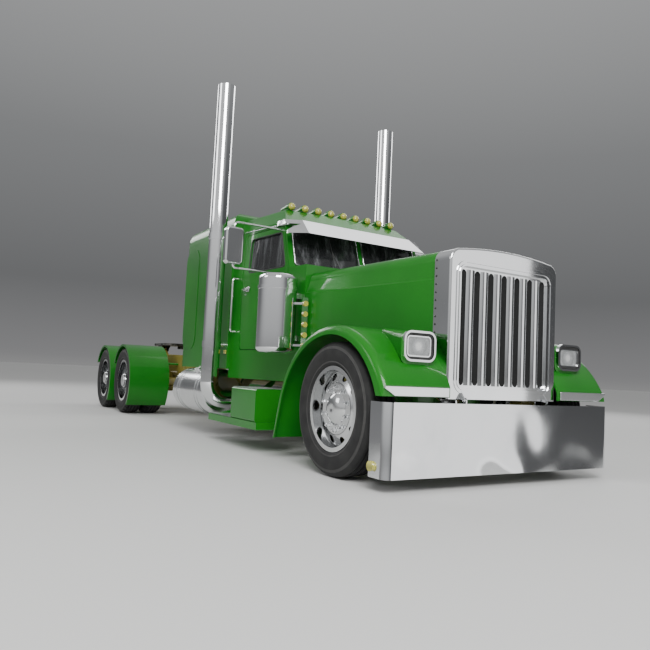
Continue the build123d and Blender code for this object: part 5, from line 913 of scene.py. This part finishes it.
# Door handles: a chromed paddle grip on a back plate is bolted through each door's skin, with a lock
# barrel below.
for side, hand in sides:
    grip_x, grip_z = steer_x - 2.235, 1.685
    skin_y = cab_side_y(grip_x, grip_z)
    bm = bmesh.new()
    block(bm, (0.150, 0.008, 0.052), (grip_x, hand * (skin_y + 0.003), grip_z))
    ease(bm, bm.edges, 0.003)
    grip = [(grip_x - 0.055, hand * (skin_y + 0.006), grip_z), (grip_x - 0.055, hand * (skin_y + 0.034), grip_z),
            (grip_x + 0.055, hand * (skin_y + 0.034), grip_z), (grip_x + 0.055, hand * (skin_y + 0.006), grip_z)]
    round_rod(bm, smooth_path(grip, 0.016, 4), 0.008, 10)
    bmesh.ops.create_cone(bm, cap_ends=True, segments=20, radius1=0.012, radius2=0.011, depth=0.012,
                          matrix=facing((0, hand, 0), (grip_x - 0.01, hand * (skin_y + 0.003), grip_z - 0.055)))
    bmesh.ops.recalc_face_normals(bm, faces=bm.faces)
    mesh = mesh_of(bm, f"door_handle_{side}", chrome, crease=35)
    add_piece(f"door_handle_{side}", mesh, f"door_{side}", "chrome")

# Grab rails: a chromed steel tube stands on two feet on each side of the cab, behind the door,
# for the climb up the steps.
for side, hand in sides:
    rail_x = steer_x - 2.440
    skin_y = cab_side_y(rail_x, 1.5)
    grab = [(rail_x, hand * (skin_y - 0.002), 1.22), (rail_x, hand * (skin_y + 0.060), 1.22),
            (rail_x, hand * (skin_y + 0.060), 1.82), (rail_x, hand * (skin_y - 0.002), 1.82)]
    rod_piece(f"grab_rail_{side}", [smooth_path(grab, 0.03, 5)], 0.014, chrome, "truck", "chrome", 12)

# Mirror glass: each chromed head holds a tall plate of silvered glass and a small one below it.
# Both face back.
mirror_glass, where, surface = new_finish("mirror_glass", Metallic=1.0, Roughness=0.03)
grime = where.noise(12.0, 6.0)
lead(grime.colours((0.75, 0.77, 0.78, 1), (0.90, 0.91, 0.92, 1)), surface, "Base Color")
lead(grime * 0.05 + 0.01, surface, "Roughness")
mirror_x = steer_x - 1.590 - 0.031
for side, hand in sides:
    bm = bmesh.new()
    rounded_slab(bm, mirror_x - 0.003, 0.004, 0.082, 0.120, 0.030, hand * 1.400, 2.070)
    rounded_slab(bm, mirror_x - 0.003, 0.004, 0.082, 0.042, 0.030, hand * 1.400, 1.888)
    mesh = mesh_of(bm, f"mirror_glass_{side}", mirror_glass)
    add_piece(f"mirror_glass_{side}", mesh, f"door_{side}", "chrome")

# Sleeper trims: small dome rivets, painted over, run along the top and the front edge of each side.
# An amber marker lamp sits low on each side.
sleeper_half = 1.005
small_rivet = button("small_rivet", (0.005, 0.005, 0.0025), 10, 6)
seam_rivets = []
for hand in (-1, 1):
    for n in range(30):
        seam_rivets.append(facing((0, hand, 0), (cab_back_x - 0.03 - n * 0.05, hand * sleeper_half, 2.412)))
    for n in range(30):
        seam_rivets.append(facing((0, hand, 0), (cab_back_x - 0.022, hand * sleeper_half, 0.86 + n * 0.052)))
add_piece("sleeper_rivets", stamp("sleeper_rivets", small_rivet, seam_rivets, body_paint), "truck", "body_paint")
bm = bmesh.new()
for hand in (-1, 1):
    block(bm, (0.060, 0.014, 0.044), (cab_back_x - 0.060, hand * (sleeper_half + 0.006), 0.990))
ease(bm, bm.edges, 0.004)
mesh = mesh_of(bm, "side_markers", amber)
add_piece("side_markers", mesh, "truck", "amber_lens")

# Fuel caps: a turned aluminium cap is screwed on a short neck, which is welded to the shoulder of each
# tank.
bm = bmesh.new()
for hand in (-1, 1):
    lean = Vector((0, hand * 0.45, 0.89)).normalized()
    foot = Vector((steer_x - 3.280, hand * 0.930, 0.520)) + lean * 0.266
    bmesh.ops.create_cone(bm, cap_ends=True, segments=32, radius1=0.048, radius2=0.046, depth=0.024,
                          matrix=facing(lean, foot + lean * 0.010))
    bmesh.ops.create_cone(bm, cap_ends=True, segments=20, radius1=0.055, radius2=0.052, depth=0.026,
                          matrix=facing(lean, foot + lean * 0.034))
ease(bm, bm.edges, 0.002, 2)
mesh = mesh_of(bm, "fuel_caps", polished)
add_piece("fuel_caps", mesh, "truck", "polished_aluminium")

# Seats: two sprung seats are covered in ribbed vinyl, each a crowned cushion and a taller back, sewn in
# channels. Moulded pedestals carry them on the cab's floor.
def pad(name, material, low, high, channels, upright=False):
    """A crowned cushion: a soft-edged block whose broad face swells, with sewn channels across it."""
    low, high = Vector(low), Vector(high)
    bm = bmesh.new()
    bmesh.ops.create_cube(bm, size=1.0)
    bmesh.ops.subdivide_edges(bm, edges=bm.edges, cuts=11, use_grid_fill=True)
    for vert in bm.verts:
        u, v, w = (2 * vert.co[i] for i in range(3))
        swell = (1 - u ** 4) * (1 - v ** 4)
        pinch = 1 - 0.06 * (1 - swell)
        groove = 0.0
        if abs(w) > 0.9:
            groove = 0.5 + 0.5 * cos(2 * pi * channels * (v + 1) / 2)
            groove = groove ** 6 * 0.25
        vert.co = Vector((vert.co.x * (1 - 0.05 * w * w), vert.co.y * (1 - 0.05 * w * w),
                          vert.co.z * (0.80 + 0.20 * swell - groove * 0.3) * pinch))
    bmesh.ops.smooth_vert(bm, verts=bm.verts, factor=0.4, use_axis_x=True, use_axis_y=True, use_axis_z=True)
    size = high - low
    if upright:
        bmesh.ops.rotate(bm, cent=(0, 0, 0), verts=bm.verts,
                         matrix=Matrix.Rotation(pi / 2, 3, "Y") @ Matrix.Rotation(pi / 2, 3, "Z"))
    lowest = Vector([min(v.co[i] for v in bm.verts) for i in range(3)])
    highest = Vector([max(v.co[i] for v in bm.verts) for i in range(3)])
    for vert in bm.verts:
        vert.co = Vector([low[i] + (vert.co[i] - lowest[i]) / (highest[i] - lowest[i]) * size[i]
                          for i in range(3)])
    bmesh.ops.recalc_face_normals(bm, faces=bm.faces)
    mesh = mesh_of(bm, name, material)
    for polygon in mesh.polygons:
        polygon.use_smooth = True
    return mesh


seat_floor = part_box("seats")[0][2]
seat_x = steer_x - 2.130
seat_channels = 5
for side, hand in sides:
    seat_y = hand * 0.440
    cushion_mesh = pad(f"seat_cushion_{side}", vinyl, (seat_x - 0.16, seat_y - 0.255, seat_floor + 0.27),
                       (seat_x + 0.255, seat_y + 0.255, seat_floor + 0.415), seat_channels)
    cushion = add_piece(f"seat_cushion_{side}", cushion_mesh, "truck", "seat_vinyl")
    back_mesh = pad(f"seat_back_{side}", vinyl, (seat_x - 0.30, seat_y - 0.245, seat_floor + 0.38),
                    (seat_x - 0.17, seat_y + 0.245, seat_floor + 1.16), seat_channels, upright=True)
    back = add_piece(f"seat_back_{side}", back_mesh, "truck", "seat_vinyl")
    bm = bmesh.new()
    block(bm, (0.36, 0.36, 0.27), (seat_x + 0.02, seat_y, seat_floor + 0.136))
    ease(bm, bm.edges, 0.02)
    mesh = mesh_of(bm, f"seat_pedestal_{side}", moulding)
    add_piece(f"seat_pedestal_{side}", mesh, "truck", "trim_plastic", *(("seats",) if side == "right" else ()))

# Bunk: a sprung mattress in quilted cloth lies on a moulded base, which is fixed to the sleeper's
# floor and walls.
bunk_low, bunk_high = (Vector(corner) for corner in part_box("bunk"))
mattress_channels = 12
mattress_mesh = pad("mattress", bedding, (bunk_low.x + 0.01, bunk_low.y + 0.01, bunk_high.z - 0.16),
                    (bunk_high.x - 0.01, bunk_high.y - 0.01, bunk_high.z - 0.002), mattress_channels)
mattress = add_piece("mattress", mattress_mesh, "truck", "bedding", "bunk")
bm = bmesh.new()
bunk_size = bunk_high - bunk_low
block(bm, (bunk_size.x - 0.03, bunk_size.y - 0.02, bunk_size.z - 0.165),
      (bunk_low + bunk_high) / 2 - Vector((0, 0, 0.082)))
upright = [edge for edge in bm.edges if abs((edge.verts[0].co - edge.verts[1].co).z) > 0.1]
ease(bm, upright, 0.09, 5)
mesh = mesh_of(bm, "bunk_base", moulding)
add_piece("bunk_base", mesh, "truck", "trim_plastic")
